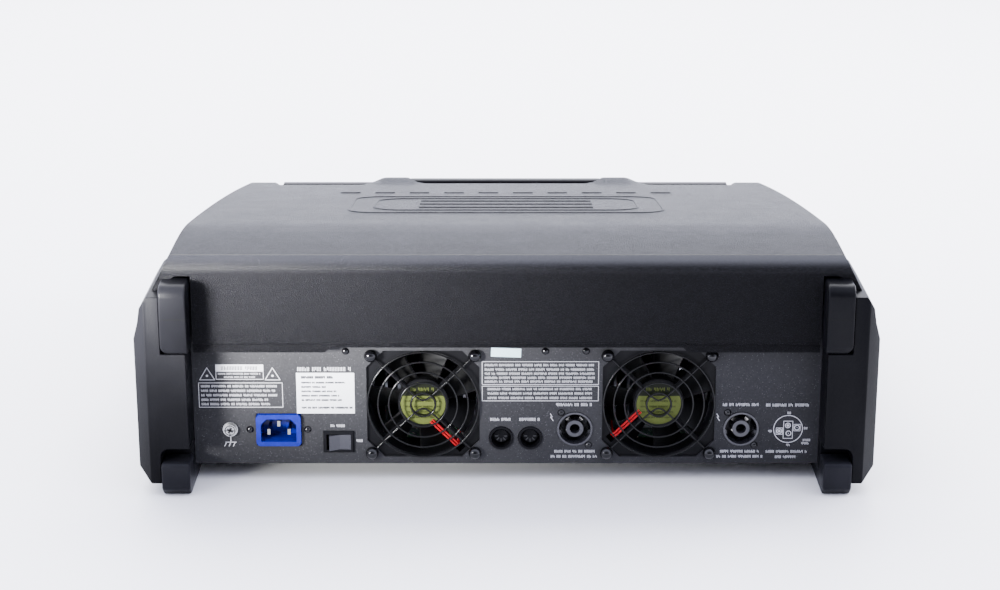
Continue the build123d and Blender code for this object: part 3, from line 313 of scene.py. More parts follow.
@dataclass(frozen=True)
class PowderCoat:
    """Powder-coated sheet steel: fine orange peel with scattered pale specks."""

    name: str
    dark: Colour
    light: Colour
    rough: float = 0.48
    speck: float = 0.35
    specular: float = 0.05

    def material(self) -> bpy.types.Material:
        """Builds the material."""
        paint = Paint(self.name)
        peel = paint.noise(820.0, 3.0, 0.65)
        cloud = paint.noise(7.0, 3.0, 0.5)
        dots = paint.cells(900.0).under(0.22) * paint.noise(700.0, 1.0).over(0.55)
        colour = paint.mix((cloud * 0.6 + peel * 0.4).ramp(0.25, 0.75), self.dark, self.light)
        pale = tuple(min(1.0, part * 3.2 + 0.02) for part in self.light)
        paint.bump(peel + dots * 0.4, 0.00012)
        speckled = paint.mix(dots * self.speck, colour, pale)
        return paint.finished(speckled, (peel - 0.5) * 0.2 + self.rough, self.specular)


@dataclass(frozen=True)
class Enamel:
    """Smooth lacquer, enamel or polished moulding with a faint ripple and hairline marks."""

    name: str
    colour: Colour
    rough: float = 0.2
    metal: float = 0.0
    coat: float = 0.0
    specular: float = 0.12
    ripple: float = 0.00001

    def material(self) -> bpy.types.Material:
        """Builds the material."""
        paint = Paint(self.name)
        ripple = paint.noise(240.0, 2.0, 0.5)
        marks = paint.noise(1100.0, 4.0, 0.75)
        deep = tuple(part * 0.82 for part in self.colour)
        paint.feed("Metallic", self.metal)
        paint.feed("Coat Weight", self.coat)
        paint.feed("Coat Roughness", 0.08)
        paint.bump(ripple * 0.7 + marks * 0.3, self.ripple)
        colour = paint.mix(ripple.ramp(0.3, 0.7), deep, self.colour)
        return paint.finished(colour, (marks - 0.5) * 0.16 + self.rough, self.specular)


@dataclass(frozen=True)
class DrawnMetal:
    """Plated or extruded metal with lines drawn along one axis."""

    name: str
    colour: Colour
    rough: float = 0.28
    axis: int = 1

    def material(self) -> bpy.types.Material:
        """Builds the material; noise is stretched forty times along the axis."""
        paint = Paint(self.name)
        scale = [1.0, 1.0, 1.0]
        scale[self.axis] = 0.025
        place = paint.node("ShaderNodeMapping", None, {"Vector": paint.place, "Scale": tuple(scale)})
        drawn = {"Vector": place.outputs[0], "Scale": 2600.0, "Detail": 3.0}
        streak = Value(paint, paint.node("ShaderNodeTexNoise", None, drawn).outputs[0])
        cloud = paint.noise(60.0, 3.0, 0.6)
        deep = tuple(part * 0.7 for part in self.colour)
        paint.feed("Metallic", 1.0)
        paint.bump(streak, 0.000012)
        colour = paint.mix((streak * 0.6 + cloud * 0.4).ramp(0.3, 0.7), deep, self.colour)
        return paint.finished(colour, (streak - 0.5) * 0.25 + self.rough)


@dataclass(frozen=True)
class Ink:
    """Screen-printed ink: slightly uneven cover with a dry edge."""

    name: str
    colour: Colour
    rough: float = 0.6
    specular: float = 0.15

    def material(self) -> bpy.types.Material:
        """Builds the material."""
        paint = Paint(self.name)
        cover = paint.noise(1800.0, 3.0, 0.7)
        thin = tuple(part * 0.72 for part in self.colour)
        paint.bump(cover, 0.00001)
        colour = paint.mix(cover.ramp(0.32, 0.5), thin, self.colour)
        return paint.finished(colour, (cover - 0.5) * 0.15 + self.rough, self.specular)


@dataclass(frozen=True)
class CircuitBoard:
    """Green solder mask over copper tracks: a track lies where nine times the noise, less its whole
    part, is under 0.38."""

    name: str

    def material(self) -> bpy.types.Material:
        """Builds the material."""
        paint = Paint(self.name)
        lanes = (paint.noise(45.0, 0.0) * 9.0).fraction()
        track = lanes.under(0.38)
        pads = paint.cells(210.0).under(0.16)
        colour = paint.mix(track, (0.006, 0.052, 0.018), (0.014, 0.105, 0.035))
        plated = paint.mix(pads, colour, (0.62, 0.60, 0.54))
        paint.feed("Metallic", pads * 0.9)
        paint.bump(track * 0.5 + pads * 0.8, 0.00004)
        return paint.finished(plated, 0.42 - pads * 0.12)


class Finish(Enum):
    """Every finish that the console wears."""

    LID = LeatherGrain("lid_grain")
    CHEEK = Moulding("cheek_grain", (0.0012, 0.0012, 0.0015), (0.0045, 0.0045, 0.0056), 0.40,
                     1100.0, 0.00009, specular=0.04)
    BUFFER = Moulding("buffer_grain", (0.0012, 0.0012, 0.0015), (0.0045, 0.0045, 0.0055), 0.34,
                      1300.0, 0.00008, specular=0.045, seam_z=0.128)
    SKID = Moulding("skid_grain", (0.004, 0.004, 0.005), (0.013, 0.013, 0.016), 0.36,
                    1300.0, 0.00008, specular=0.045)
    BLACK = Moulding("black_moulding", (0.002, 0.002, 0.0025), (0.006, 0.006, 0.007), 0.34,
                     2400.0, 0.00002, specular=0.05)
    HOUSING = Moulding("fan_housing", (0.002, 0.002, 0.002), (0.005, 0.005, 0.006), 0.36,
                       1700.0, 0.00003, specular=0.06)
    BLADE = Moulding("fan_blades", (0.002, 0.002, 0.002), (0.006, 0.006, 0.006), 0.34, 2400.0, 0.00002)
    GLOSS = Enamel("gloss_black", (0.005, 0.005, 0.0065), 0.18, coat=0.06, specular=0.08)
    WIRE = Enamel("wire_enamel", (0.002, 0.002, 0.002), 0.24, coat=0.07, specular=0.14)
    SCREW = Enamel("screw_lacquer", (0.002, 0.002, 0.0025), 0.12, coat=0.16, specular=0.20)
    PANEL = PowderCoat("panel_coat", (0.0130, 0.0130, 0.0141), (0.028, 0.028, 0.0300), 0.46, 0.5)
    PAN = PowderCoat("pan_coat", (0.010, 0.010, 0.011), (0.018, 0.018, 0.019), 0.55, 0.2)
    BLUE = Enamel("inlet_blue", (0.003, 0.007, 0.16), 0.20, coat=0.16)
    PLATED = DrawnMetal("plated_contacts", (0.36, 0.35, 0.32), 0.22)
    ZINC = DrawnMetal("zinc_plate", (0.42, 0.42, 0.41), 0.30)
    CONTACT = DrawnMetal("spring_contacts", (0.05, 0.05, 0.05), 0.34)
    # Painted shade: the dark colour of the earth screw's cross recess and washer shadow ring.
    RECESS = Enamel("painted_recess_shade", (0.012, 0.012, 0.013), 0.4)
    ALUMINIUM = DrawnMetal("sink_extrusion", (0.72, 0.73, 0.75), 0.34)
    WHITE_INK = Ink("white_ink", (0.46, 0.46, 0.48))
    DARK_INK = Ink("dark_ink", (0.012, 0.012, 0.016))
    PAPER = Ink("label_film", (0.58, 0.585, 0.61), 0.42)
    PALE_BLUE = Ink("sticker_film", (0.50, 0.66, 0.72), 0.4)
    BADGE = Ink("fan_badge_film", (0.068, 0.082, 0.020), 0.4, 0.05)
    BADGE_CAP = Ink("fan_badge_cap", (0.006, 0.007, 0.004), 0.35, 0.05)
    BADGE_INK = Ink("fan_badge_ink", (0.008, 0.010, 0.003), 0.5, 0.05)
    RED_LEAD = Enamel("red_sheath", (0.36, 0.006, 0.010), 0.34)
    KNOB_GREY = Moulding("knob_grey", (0.055, 0.055, 0.060), (0.085, 0.085, 0.092), 0.42, 2200.0, 0.00003)
    KNOB_LIGHT = Moulding("knob_light", (0.34, 0.34, 0.36), (0.46, 0.46, 0.48), 0.42, 2200.0, 0.00003)
    KNOB_BLUE = Moulding("knob_blue", (0.025, 0.07, 0.22), (0.045, 0.11, 0.30), 0.42, 2200.0, 0.00003)
    DISPLAY = Enamel("read_out", (0.006, 0.012, 0.008), 0.08, coat=0.8)
    BOARD = CircuitBoard("solder_mask")
    CORE = Enamel("core_varnish", (0.26, 0.13, 0.03), 0.3, metal=0.3, coat=0.5)
    CAN = Enamel("can_sleeve", (0.012, 0.016, 0.05), 0.25, coat=0.3)

    def material(self) -> bpy.types.Material:
        """The finish's material, built once."""
        made = bpy.data.materials.get(self.value.name)
        return made or self.value.material()


# ---------------------------------------------------------------- mesh making
def grid_faces(rows: int, columns: int, turn: bool = False, offset: int = 0, ring: bool = False) -> Array:
    """Quads of a grid of rows by columns of points, numbered row by row.

    Args:
        rows: points down.
        columns: points across.
        turn: reverses each face.
        offset: number of the first point.
        ring: joins the last column to the first.

    Returns:
        An (n, 4) array of point numbers.
    """
    down = np.arange(rows - 1)[:, None]
    across = np.arange(columns if ring else columns - 1)[None, :]
    after = (across + 1) % columns
    a = down * columns + across
    b = down * columns + after
    c = (down + 1) * columns + after
    d = (down + 1) * columns + across
    order = (a, d, c, b) if turn else (a, b, c, d)
    return np.stack([part.ravel() for part in order], axis=1) + offset


def full_turn(count: int) -> Array:
    """Angles round a full turn, in equal steps."""
    return np.linspace(0, 2 * math.pi, count, endpoint=False)


def directions(path: Array, closed: bool) -> Array:
    """Unit direction of a path at each of its points."""
    along = np.roll(path, -1, axis=0) - np.roll(path, 1, axis=0) if closed else np.gradient(path, axis=0)
    return along / np.linalg.norm(along, axis=1)[:, None]


def placed(name: str, data: bpy.types.ID) -> bpy.types.Object:
    """A new object, linked to the scene."""
    made = bpy.data.objects.new(name, data)
    bpy.context.scene.collection.objects.link(made)
    return made


class Surface:
    """Points in millimetres and faces, gathered until they become one object."""

    def __init__(self) -> None:
        """Starts empty."""
        self.points: list[Array] = []
        self.faces: list[Array] = []
        self.count = 0

    def add(self, points: Array, faces: Array) -> None:
        """Adds a block of points (n, 3) and faces (m, k), whose numbers start at nought."""
        self.points.append(points)
        self.faces.append(faces + self.count)
        self.count += len(points)

    def sheet(self, grid: Array, turn: bool = False) -> None:
        """Adds a (rows, columns, 3) grid of points as a sheet."""
        rows, columns = grid.shape[:2]
        self.add(grid.reshape(-1, 3), grid_faces(rows, columns, turn))

    def sleeve(self, grid: Array, capped: bool = False) -> None:
        """Adds a (rows, columns, 3) grid whose rows close into rings, with flat ends if it is capped."""
        rows, columns = grid.shape[:2]
        self.add(grid.reshape(-1, 3), grid_faces(rows, columns, ring=True))
        if capped:
            ring = np.arange(columns)[None]
            self.add(grid[0], ring)
            self.add(grid[-1], ring[:, ::-1])

    def tube(self, path: Array, radius: float, sides: int = 10, closed: bool = False) -> None:
        """Adds a round tube along a path.

        A point of the wall is the path point plus radius times (cos a * side + sin a * up), where
        side and up square off the path's direction.

        Args:
            path: (n, 3) points.
            radius: the tube's.
            sides: facets round it.
            closed: joins the last point to the first.
        """
        along = directions(path, closed)
        hint = np.array([0.0, 1.0, 0.0]) if np.abs(along[:, 1]).max() < 0.9 else np.array([1.0, 0.0, 0.0])
        side = np.cross(along, hint)
        side /= np.linalg.norm(side, axis=1)[:, None]
        up = np.cross(side, along)
        turn = full_turn(sides)[None, :, None]
        wall = path[:, None] + radius * (np.cos(turn) * side[:, None] + np.sin(turn) * up[:, None])
        if closed:
            self.sleeve(np.concatenate([wall, wall[:1]]))
            return
        self.sleeve(wall)
        corners = np.arange(sides)
        fan = np.stack([corners, (corners + 1) % sides, np.full(sides, sides)], axis=1)
        self.add(np.concatenate([wall[0], path[:1]]), fan[:, ::-1])
        self.add(np.concatenate([wall[-1], path[-1:]]), fan)

    def lathe(self, centre: Sequence[float], profile: Array, sides: int = 24) -> None:
        """Adds a turned shape about an axis along Y.

        A point is the centre plus (r cos a, depth, r sin a) for each (r, depth) of the profile.
        """
        turn = full_turn(sides)
        grid = np.empty((len(profile), sides, 3))
        grid[..., 0] = centre[0] + profile[:, :1] * np.cos(turn)
        grid[..., 1] = centre[1] + profile[:, 1:]
        grid[..., 2] = centre[2] + profile[:, :1] * np.sin(turn)
        self.sleeve(grid)

    def slab(self, corners: Array, y0: float, y1: float) -> None:
        """Adds a flat prism: four (x, z) corners carried from y0 to y1."""
        back = np.insert(corners, 1, y0, axis=1)
        front = np.insert(corners, 1, y1, axis=1)
        quads = np.array([[0, 1, 2, 3], [7, 6, 5, 4], [0, 4, 5, 1], [1, 5, 6, 2], [2, 6, 7, 3], [3, 7, 4, 0]])
        self.add(np.concatenate([back, front]), quads)

    def strip(self, start: Array, stop: Array, width: float, y0: float, y1: float, over: float = 0.0) -> None:
        """Adds a flat bar between two (x, z) places, carried on past both of them by over."""
        along = (stop - start) / np.linalg.norm(stop - start)
        side = np.array([-along[1], along[0]]) * width / 2
        a, b = start - along * over, stop + along * over
        self.slab(np.array([a - side, b - side, b + side, a + side]), y0, y1)

    def bars(self, boxes: Array) -> None:
        """Adds boxes, one for each row (x0, x1, y0, y1, z0, z1)."""
        pick = np.array([[a, b, c] for a in (0, 1) for b in (2, 3) for c in (4, 5)])
        points = boxes[:, pick].reshape(-1, 3)
        quads = np.array([[0, 1, 3, 2], [4, 6, 7, 5], [0, 4, 5, 1], [2, 3, 7, 6], [0, 2, 6, 4], [1, 5, 7, 3]])
        self.add(points, (quads[None] + 8 * np.arange(len(boxes))[:, None, None]).reshape(-1, 4))

    def object(self, name: str, finish: Finish, smooth: bool = True, weld: float = WELD) -> bpy.types.Object:
        """Makes the object.

        Args:
            name: its name.
            finish: what it wears.
            smooth: shades its faces smoothly.
            weld: points nearer than this, in millimetres, become one.

        Returns:
            The object, at the origin.
        """
        mesh = bpy.data.meshes.new(name)
        points = np.concatenate(self.points) * MM
        faces = [face for block in self.faces for face in block.tolist()]
        mesh.from_pydata(points.tolist(), [], faces)
        shape = bmesh.new()
        shape.from_mesh(mesh)
        bmesh.ops.remove_doubles(shape, verts=shape.verts, dist=weld * MM)
        bmesh.ops.dissolve_degenerate(shape, edges=shape.edges, dist=1e-7)
        bmesh.ops.recalc_face_normals(shape, faces=shape.faces)
        shape.to_mesh(mesh)
        shape.free()
        mesh.polygons.foreach_set("use_smooth", np.full(len(mesh.polygons), smooth))
        mesh.materials.append(finish.material())
        return placed(name, mesh)

    def flat(self, name: str, finish: Finish, slot: str = LABEL, weld: float = WELD) -> None:
        """Makes a flat-shaded piece that rides on the console.

        Args:
            name: its name.
            finish: what it wears.
            slot: not used.
            weld: points nearer than this, in millimetres, become one.
        """
        piece = self.object(name, finish, smooth=False, weld=weld)
        settle(piece, CONSOLE)


def smooth_step(value: Array) -> Array:
    """Three t squared less two t cubed, with t held between nought and one."""
    held = np.clip(value, 0.0, 1.0)
    return held * held * (3.0 - 2.0 * held)


def window(value: Array, start: float, full: float, fade: float, stop: float) -> Array:
    """One from full to fade and nought outside start and stop, with smooth steps between them."""
    return smooth_step((stop - value) / (stop - fade)) * smooth_step((value - start) / (full - start))


def circle(x: float, y: float, z: float, radius: float, count: int = 72) -> Array:
    """Points of a ring that faces along Y."""
    turn = full_turn(count)
    return np.stack([x + radius * np.cos(turn), np.full(count, y), z + radius * np.sin(turn)], axis=1)


def bevelled(piece: bpy.types.Object, width: float, segments: int = 3, angle: float = 35.0) -> None:
    """Rounds the sharp edges of a piece; the width is in millimetres."""
    rounding = piece.modifiers.new("edges", "BEVEL")
    rounding.width = width * MM
    rounding.segments = segments
    rounding.limit_method = "ANGLE"
    rounding.angle_limit = math.radians(angle)
    rounding.harden_normals = True


def refined(node: str, finish: Finish, body: str, width: float, segments: int = 3) -> bpy.types.Object:
    """A copy of a CAD node with its triangles merged and its edges rounded, which stands for the node.

    Args:
        node: the node to stand for.
        finish: what the copy wears.
        body: what it rides on.
        width: width of the rounded edges, in millimetres.
        segments: faces across a rounded edge.

    Returns:
        The new piece.
    """
    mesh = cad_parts[node].data.copy()
    shape = bmesh.new()
    shape.from_mesh(mesh)
    bmesh.ops.remove_doubles(shape, verts=shape.verts, dist=1e-6)
    bmesh.ops.dissolve_limit(shape, angle_limit=math.radians(1.5), verts=shape.verts, edges=shape.edges)
    shape.to_mesh(mesh)
    shape.free()
    mesh.materials.clear()
    mesh.materials.append(finish.material())
    mesh.polygons.foreach_set("use_smooth", np.ones(len(mesh.polygons), bool))
    made = placed(node + "_shape", mesh)
    bevelled(made, width, segments)
    return settle(made, body, node)


def settle(piece: bpy.types.Object, body: str, *nodes: str) -> bpy.types.Object:
    """Makes a piece ride on a body and stand for CAD nodes, and reports it."""
    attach(piece, body)
    if nodes:
        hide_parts(*nodes)
    LOG.info("%s rides on %s", piece.name, body)
    return piece


def dress(node: str, finish: Finish) -> None:
    """Gives a CAD node its finish."""
    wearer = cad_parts[node]
    wearer.data.materials.clear()
    wearer.data.materials.append(finish.material())


def ends(node: str) -> tuple[Array, Array]:
    """Lowest and highest corners of a CAD node's box, in millimetres."""
    low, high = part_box(node)
    return np.array(low) / MM, np.array(high) / MM


def middle(node: str) -> Array:
    """Centre of a CAD node's box, in millimetres."""
    low, high = ends(node)
    return (low + high) / 2


def dress_all(wear: dict[Finish, str]) -> None:
    """Gives each finish to the CAD nodes listed after it, with spaces between their names."""
    for finish, nodes in wear.items():
        for node in nodes.split():
            dress(node, finish)


# ---------------------------------------------------------------- lid
@dataclass
class Lid:
    """Transport lid: rear apron, rounded rear edge, level stretch, slope, scooped front edge."""

    slope: float = 10.0
    flat: float = 72.0          # rear wall to the bend
    side_drop: float = 24.0
    side_spread: float = 15.0
    apron_half: float = 213.5
    notch_rise: float = 9.8     # from the side wall's foot up to the top of the corner notch
    crease: float = 3.0         # tight turn where the top meets the shoulder
    edge: float = 16.5          # shoulder's radius
    shoulder_lean: float = 50.0  # how far up the shoulder starts to face, degrees
    rear_fall: float = 0.8
    fall_start: float = 34.0    # the fall begins this far before the rear wall
    fall_length: float = 28.0
    bend: float = 240.0
    bow: float = 3.0            # the slope is this much fuller than a plane half way down
    taper: float = 2.8          # top edges stand out by this at the rear and in at the front
    front_edge: float = 5.0
    wall: float = 3.0
    lip: float = 7.0
    lip_in: float = 1.6
    scoop_half: float = 79.0
    scoop_blend: float = 8.0
    scoop_back: float = 18.0
    swell_back: float = 46.0    # rises and dips start this far behind the front edge
    swell_blend: float = 40.0
    rise: float = 4.6
    rise_span: tuple[float, ...] = (73.0, 80.0, 104.0, 119.0)
    dip: float = 3.2
    dip_span: tuple[float, ...] = (116.0, 130.0, 196.0, 202.0)
    apron_drop: float = 69.0    # from the top down to the apron's foot
    arch: float = 3.5           # the foot is this much higher over the middle
    arch_half: float = 124.0
    arch_blend: float = 4.0
    lip_blend: float = 1.4
    bead_lap: float = 0.15      # the relief's beads start this far inside the top
    bead_depth: float = 0.8
    low: Array = field(init=False)
    high: Array = field(init=False)

    def __post_init__(self) -> None:
        """Takes the lid's outline from its CAD node."""
        self.low, self.high = ends("lid_shell")
        self.foot_half = self.high[0]
        self.top_half = self.foot_half - self.side_spread
        self.rear = self.high[1]
        self.front = self.low[1]
        self.top = self.high[2]
        self.bend_y = self.rear - self.flat
        self.apron_foot = self.top - self.apron_drop

    def ridge(self, y: Array) -> Array:
        """Height of the top: level with a slight fall at the rear, an arc, then a slope.

        The slope is bowed by four times the bow times t (1 - t), t being the share of its length.
        """
        steep = math.radians(self.slope)
        reach = self.bend * math.tan(steep / 2)
        start = self.bend_y + reach
        run = np.clip(start - y, 0.0, self.bend * math.sin(steep))
        arc = self.bend - np.sqrt(self.bend ** 2 - run ** 2)
        beyond = np.maximum(0.0, start - self.bend * math.sin(steep) - y)
        along = np.clip((self.bend_y - y) / (self.bend_y - self.front), 0.0, 1.0)
        fall = self.rear_fall * smooth_step((y - self.rear + self.fall_start) / self.fall_length)
        return self.top - arc - beyond * math.tan(steep) + 4 * self.bow * along * (1 - along) - fall

    def front_line(self, x: Array) -> Array:
        """Plan line of the front wall: straight, and set back behind the hand grip."""
        share = smooth_step((self.scoop_half + self.scoop_blend - np.abs(x)) / self.scoop_blend)
        return self.front + self.scoop_back * share

    def swell(self, x: Array, y: Array) -> Array:
        """Extra height near the front edge: two rises beside the grip and two shallow dips."""
        away = np.abs(x)
        near = smooth_step((self.front + self.swell_back - y) / self.swell_blend)
        return near * (self.rise * window(away, *self.rise_span) - self.dip * window(away, *self.dip_span))

    def height(self, x: Array, y: Array) -> Array:
        """Height of the top surface at (x, y)."""
        return self.ridge(y) + self.swell(x, y)

    def half(self, drop: Array, y: Array) -> Array:
        """Half width at a depth below the top: the side's lean, and a taper that dies out at its foot."""
        share = np.clip(drop / self.side_drop, 0.0, 1.0)
        return self.top_half + self.side_spread * share + self.taper * (1 - share) * y / self.rear

    def rows(self, x: Array, rim: Array) -> Array:
        """Side profile at each x, from the rim of the rear wall over the top to the front wall's foot.

        Args:
            x: places across.
            rim: height where the rear wall starts, at each x.

        Returns:
            (rows, columns, 2) array of y and z.
        """
        columns = len(x)
        lean = math.radians(self.shoulder_lean)
        start = self.rear - self.edge * (1 - math.cos(lean)) - self.crease * math.cos(lean)
        crest = self.ridge(np.array(start))
        shoulder = crest - self.crease * (1 - math.sin(lean)) - self.edge * math.sin(lean)
        part = np.linspace(0, 1, 5)[:-1, None]
        rear = np.stack([np.full((4, columns), self.rear), rim + part * (shoulder - rim)], axis=2)
        turn = np.linspace(0, lean, 9)[:, None] * np.ones(columns)
        y, z = self.rear - self.edge * (1 - np.cos(turn)), shoulder + self.edge * np.sin(turn)
        arc = np.stack([y, z], axis=2)
        turn = np.linspace(lean, math.pi / 2, 5)[1:, None] * np.ones(columns)
        y, z = start + self.crease * np.cos(turn), crest - self.crease * (1 - np.sin(turn))
        arc = np.concatenate([arc, np.stack([y, z], axis=2)])
        stop = self.front_line(x) + self.front_edge
        share = 1 - (1 - np.linspace(0, 1, 64)[1:, None]) ** 1.25
        y = start + share * (stop - start)
        top = np.stack([y, self.height(np.broadcast_to(x, y.shape), y)], axis=2)
        lead = math.radians(self.slope)
        turn = np.linspace(lead, math.pi / 2, 7)[1:, None] * np.ones(columns)
        radius = self.front_edge
        y = stop - radius * (np.sin(turn) - math.sin(lead)) / (1 - math.sin(lead))
        z = self.height(x, stop) - radius * (math.cos(lead) - np.cos(turn))
        nose = np.stack([y, z], axis=2)
        foot = self.ridge(self.front_line(x)) - self.side_drop
        part = np.linspace(0, 1, 5)[1:, None]
        y = np.broadcast_to(self.front_line(x), (4, columns))
        face = np.stack([y, z[-1] + part * (foot - z[-1])], axis=2)
        return np.concatenate([rear, arc, top, nose, face])

    def columns(self) -> Array:
        """Places across the middle of the lid, closer together round the grip."""
        side = np.concatenate([
            np.linspace(0, 76, 12), np.linspace(79, 132, 28), np.linspace(138, 190, 9),
            np.linspace(194, 206, 7), [self.apron_half],
        ])
        return np.concatenate([-side[:0:-1], side])

    def shell(self) -> bpy.types.Object:
        """The lid's shell: middle sheet with its apron, two outer sheets and two side walls."""
        surface = Surface()
        x = self.columns()
        rim = np.full(len(x), self.top - self.side_drop + self.notch_rise)
        profile = self.rows(x, rim)
        grid = np.concatenate([np.broadcast_to(x, profile.shape[:2])[..., None], profile], axis=2)
        surface.sheet(grid)

        foot = self.apron_foot + self.arch * smooth_step((self.arch_half - np.abs(x)) / self.arch_blend)
        spans = ((0, 0.10, 5), (0.105, 0.16, 12), (0.2, 1, 12))
        share = np.concatenate([np.linspace(*span) for span in spans])
        z = foot + share[:, None] * (rim - foot)
        inward = self.lip_in * smooth_step((self.apron_foot + self.lip - z) / self.lip_blend)
        apron = np.stack([np.broadcast_to(x, z.shape), self.rear - inward, z], axis=2)
        surface.sheet(apron)

        share = np.linspace(0, 1, 9)
        for side in (-1, 1):
            tip = self.notch_rise * (1 - smooth_step((share - 0.45) / 0.55))
            rim = self.top - self.side_drop + tip
            place = np.full(len(share), side * self.apron_half)
            profile = self.rows(place, rim)
            drop = self.ridge(profile[..., 0]) - profile[..., 1]
            across = side * (self.apron_half + share * (self.half(drop, profile[..., 0]) - self.apron_half))
            grid = np.concatenate([across[..., None], profile], axis=2)
            surface.sheet(grid, side < 0)
            edge = grid[4:-4, -1].copy()
            part = np.linspace(0, 1, 5)[:, None]
            foot = self.ridge(edge[:, 1]) - self.side_drop
            z = edge[:, 2] + part * (foot - edge[:, 2])
            y = np.broadcast_to(edge[:, 1], z.shape)
            wall = np.stack([side * self.half(self.ridge(y) - z, y), y, z], axis=2)
            surface.sheet(wall, side > 0)
        piece = surface.object("lid_shell_shape", Finish.LID, weld=0.02)
        thick = piece.modifiers.new("wall", "SOLIDIFY")
        thick.thickness = self.wall * MM
        thick.offset = -1.0
        thick.use_even_offset = True
        bevelled(piece, 2.2, 4, 38.0)
        return settle(piece, "lid", "lid_shell")

    def bead(self, surface: Surface, plan: Array, width: float, tall: float, closed: bool = True) -> None:
        """Adds a low half-round bead that follows a plan line on the lid.

        Across the bead, height is tall times the square root of one less the offset squared.
        """
        along = directions(plan, closed)
        normal = np.stack([-along[:, 1], along[:, 0]], axis=1)
        offset = np.linspace(-1, 1, 7)
        place = plan[:, None] + normal[:, None] * offset[None, :, None] * width / 2
        z = self.height(place[..., 0], place[..., 1]) + tall * np.sqrt(1 - offset ** 2)[None] - self.bead_lap
        base = np.column_stack([plan, self.height(plan[:, 0], plan[:, 1]) - self.bead_depth])[:, None]
        grid = np.concatenate([np.concatenate([place, z[..., None]], axis=2), base], axis=1)
        surface.sleeve(np.concatenate([grid, grid[:1]]) if closed else grid, capped=not closed)

    def relief(self) -> bpy.types.Object:
        """Plain raised ornament: two nested rounded frames, three bars and a row of dashes."""
        surface = Surface()
        y0 = self.bend_y - 145.0
        corner = 22.0
        turn = full_turn(200)
        for a, b in ((118.0, 62.0), (100.0, 44.0)):
            x = np.sign(np.cos(turn)) * (a - corner) + corner * np.cos(turn)
            y = y0 + np.sign(np.sin(turn)) * (b - corner) + corner * np.sin(turn)
            self.bead(surface, np.stack([x, y], axis=1), 2.0, 0.8)
        lines = [(-66.0, 66.0, y0 + y, 12, 5.0) for y in (-24.0, 0.0, 24.0)]
        lines += [(x - 8.0, x + 8.0, y0 - 100.0, 6, 4.0) for x in np.linspace(-126, 126, 10)]
        for start, stop, y, count, width in lines:
            line = np.stack([np.linspace(start, stop, count), np.full(count, y)], axis=1)
            self.bead(surface, line, width, 1.0, closed=False)
        piece = surface.object("lid_relief", Finish.LID)
        return settle(piece, "lid")

    def build(self) -> None:
        """Makes the shell and its relief and dresses the catches."""
        self.shell()
        self.relief()
        dress_all({Finish.BLACK: "lid_latch_right lid_latch_left"})


# ---------------------------------------------------------------- casing
@dataclass
class Casing:
    """Cheeks, corner buffers, skids, sheet metal and the carrying bar."""

    grip_half: float = 86.0
    grip_blend: float = 3.0
    bar_height: float = 44.0
    power_y: float = 0.4
    power_z: float = 0.22
    end_shrink: float = 0.86

    def handle(self) -> bpy.types.Object:
        """Carrying bar: a section carried across, each coordinate a power of the cosine or sine."""
        low, high = ends("front_handle")
        surface = Surface()
        x = np.concatenate([[low[0]], np.linspace(low[0] + 1.5, high[0] - 1.5, 220), [high[0]]])
        turn = full_turn(40)
        cosine, sine = np.cos(turn), np.sin(turn)
        around_y = np.sign(cosine) * np.abs(cosine) ** self.power_y
        around_z = np.sign(sine) * np.abs(sine) ** self.power_z
        half_y = (high[1] - low[1]) / 2
        raised = smooth_step((self.grip_half + self.grip_blend - np.abs(x)) / (2 * self.grip_blend))
        top = low[2] + self.bar_height + (high[2] - low[2] - self.bar_height) * raised
        half_z = (top - low[2])[:, None] / 2
        shrink = np.where((x <= low[0]) | (x >= high[0]), self.end_shrink, 1.0)[:, None]
        y = (low[1] + high[1]) / 2 + half_y * around_y * shrink
        z = low[2] + half_z + half_z * around_z * shrink
        grid = np.stack([np.broadcast_to(x[:, None], y.shape), y, z], axis=2)
        surface.sleeve(grid, capped=True)
        return settle(surface.object("front_handle_shape", Finish.BLACK), CONSOLE, "front_handle")

    def build(self) -> None:
        """Makes the moulded corners and dresses the metalwork."""
        for hand in HANDS:
            refined("cheek_" + hand, Finish.CHEEK, CONSOLE, 1.2)
            refined("bumper_" + hand, Finish.BUFFER, CONSOLE, 1.6, 4)
            refined("skid_" + hand, Finish.SKID, CONSOLE, 1.6, 4)
        self.handle()
        dress_all({
            Finish.BLACK: "handle_posts", Finish.PAN: "chassis_pan", Finish.PANEL: "rear_panel control_panel",
        })


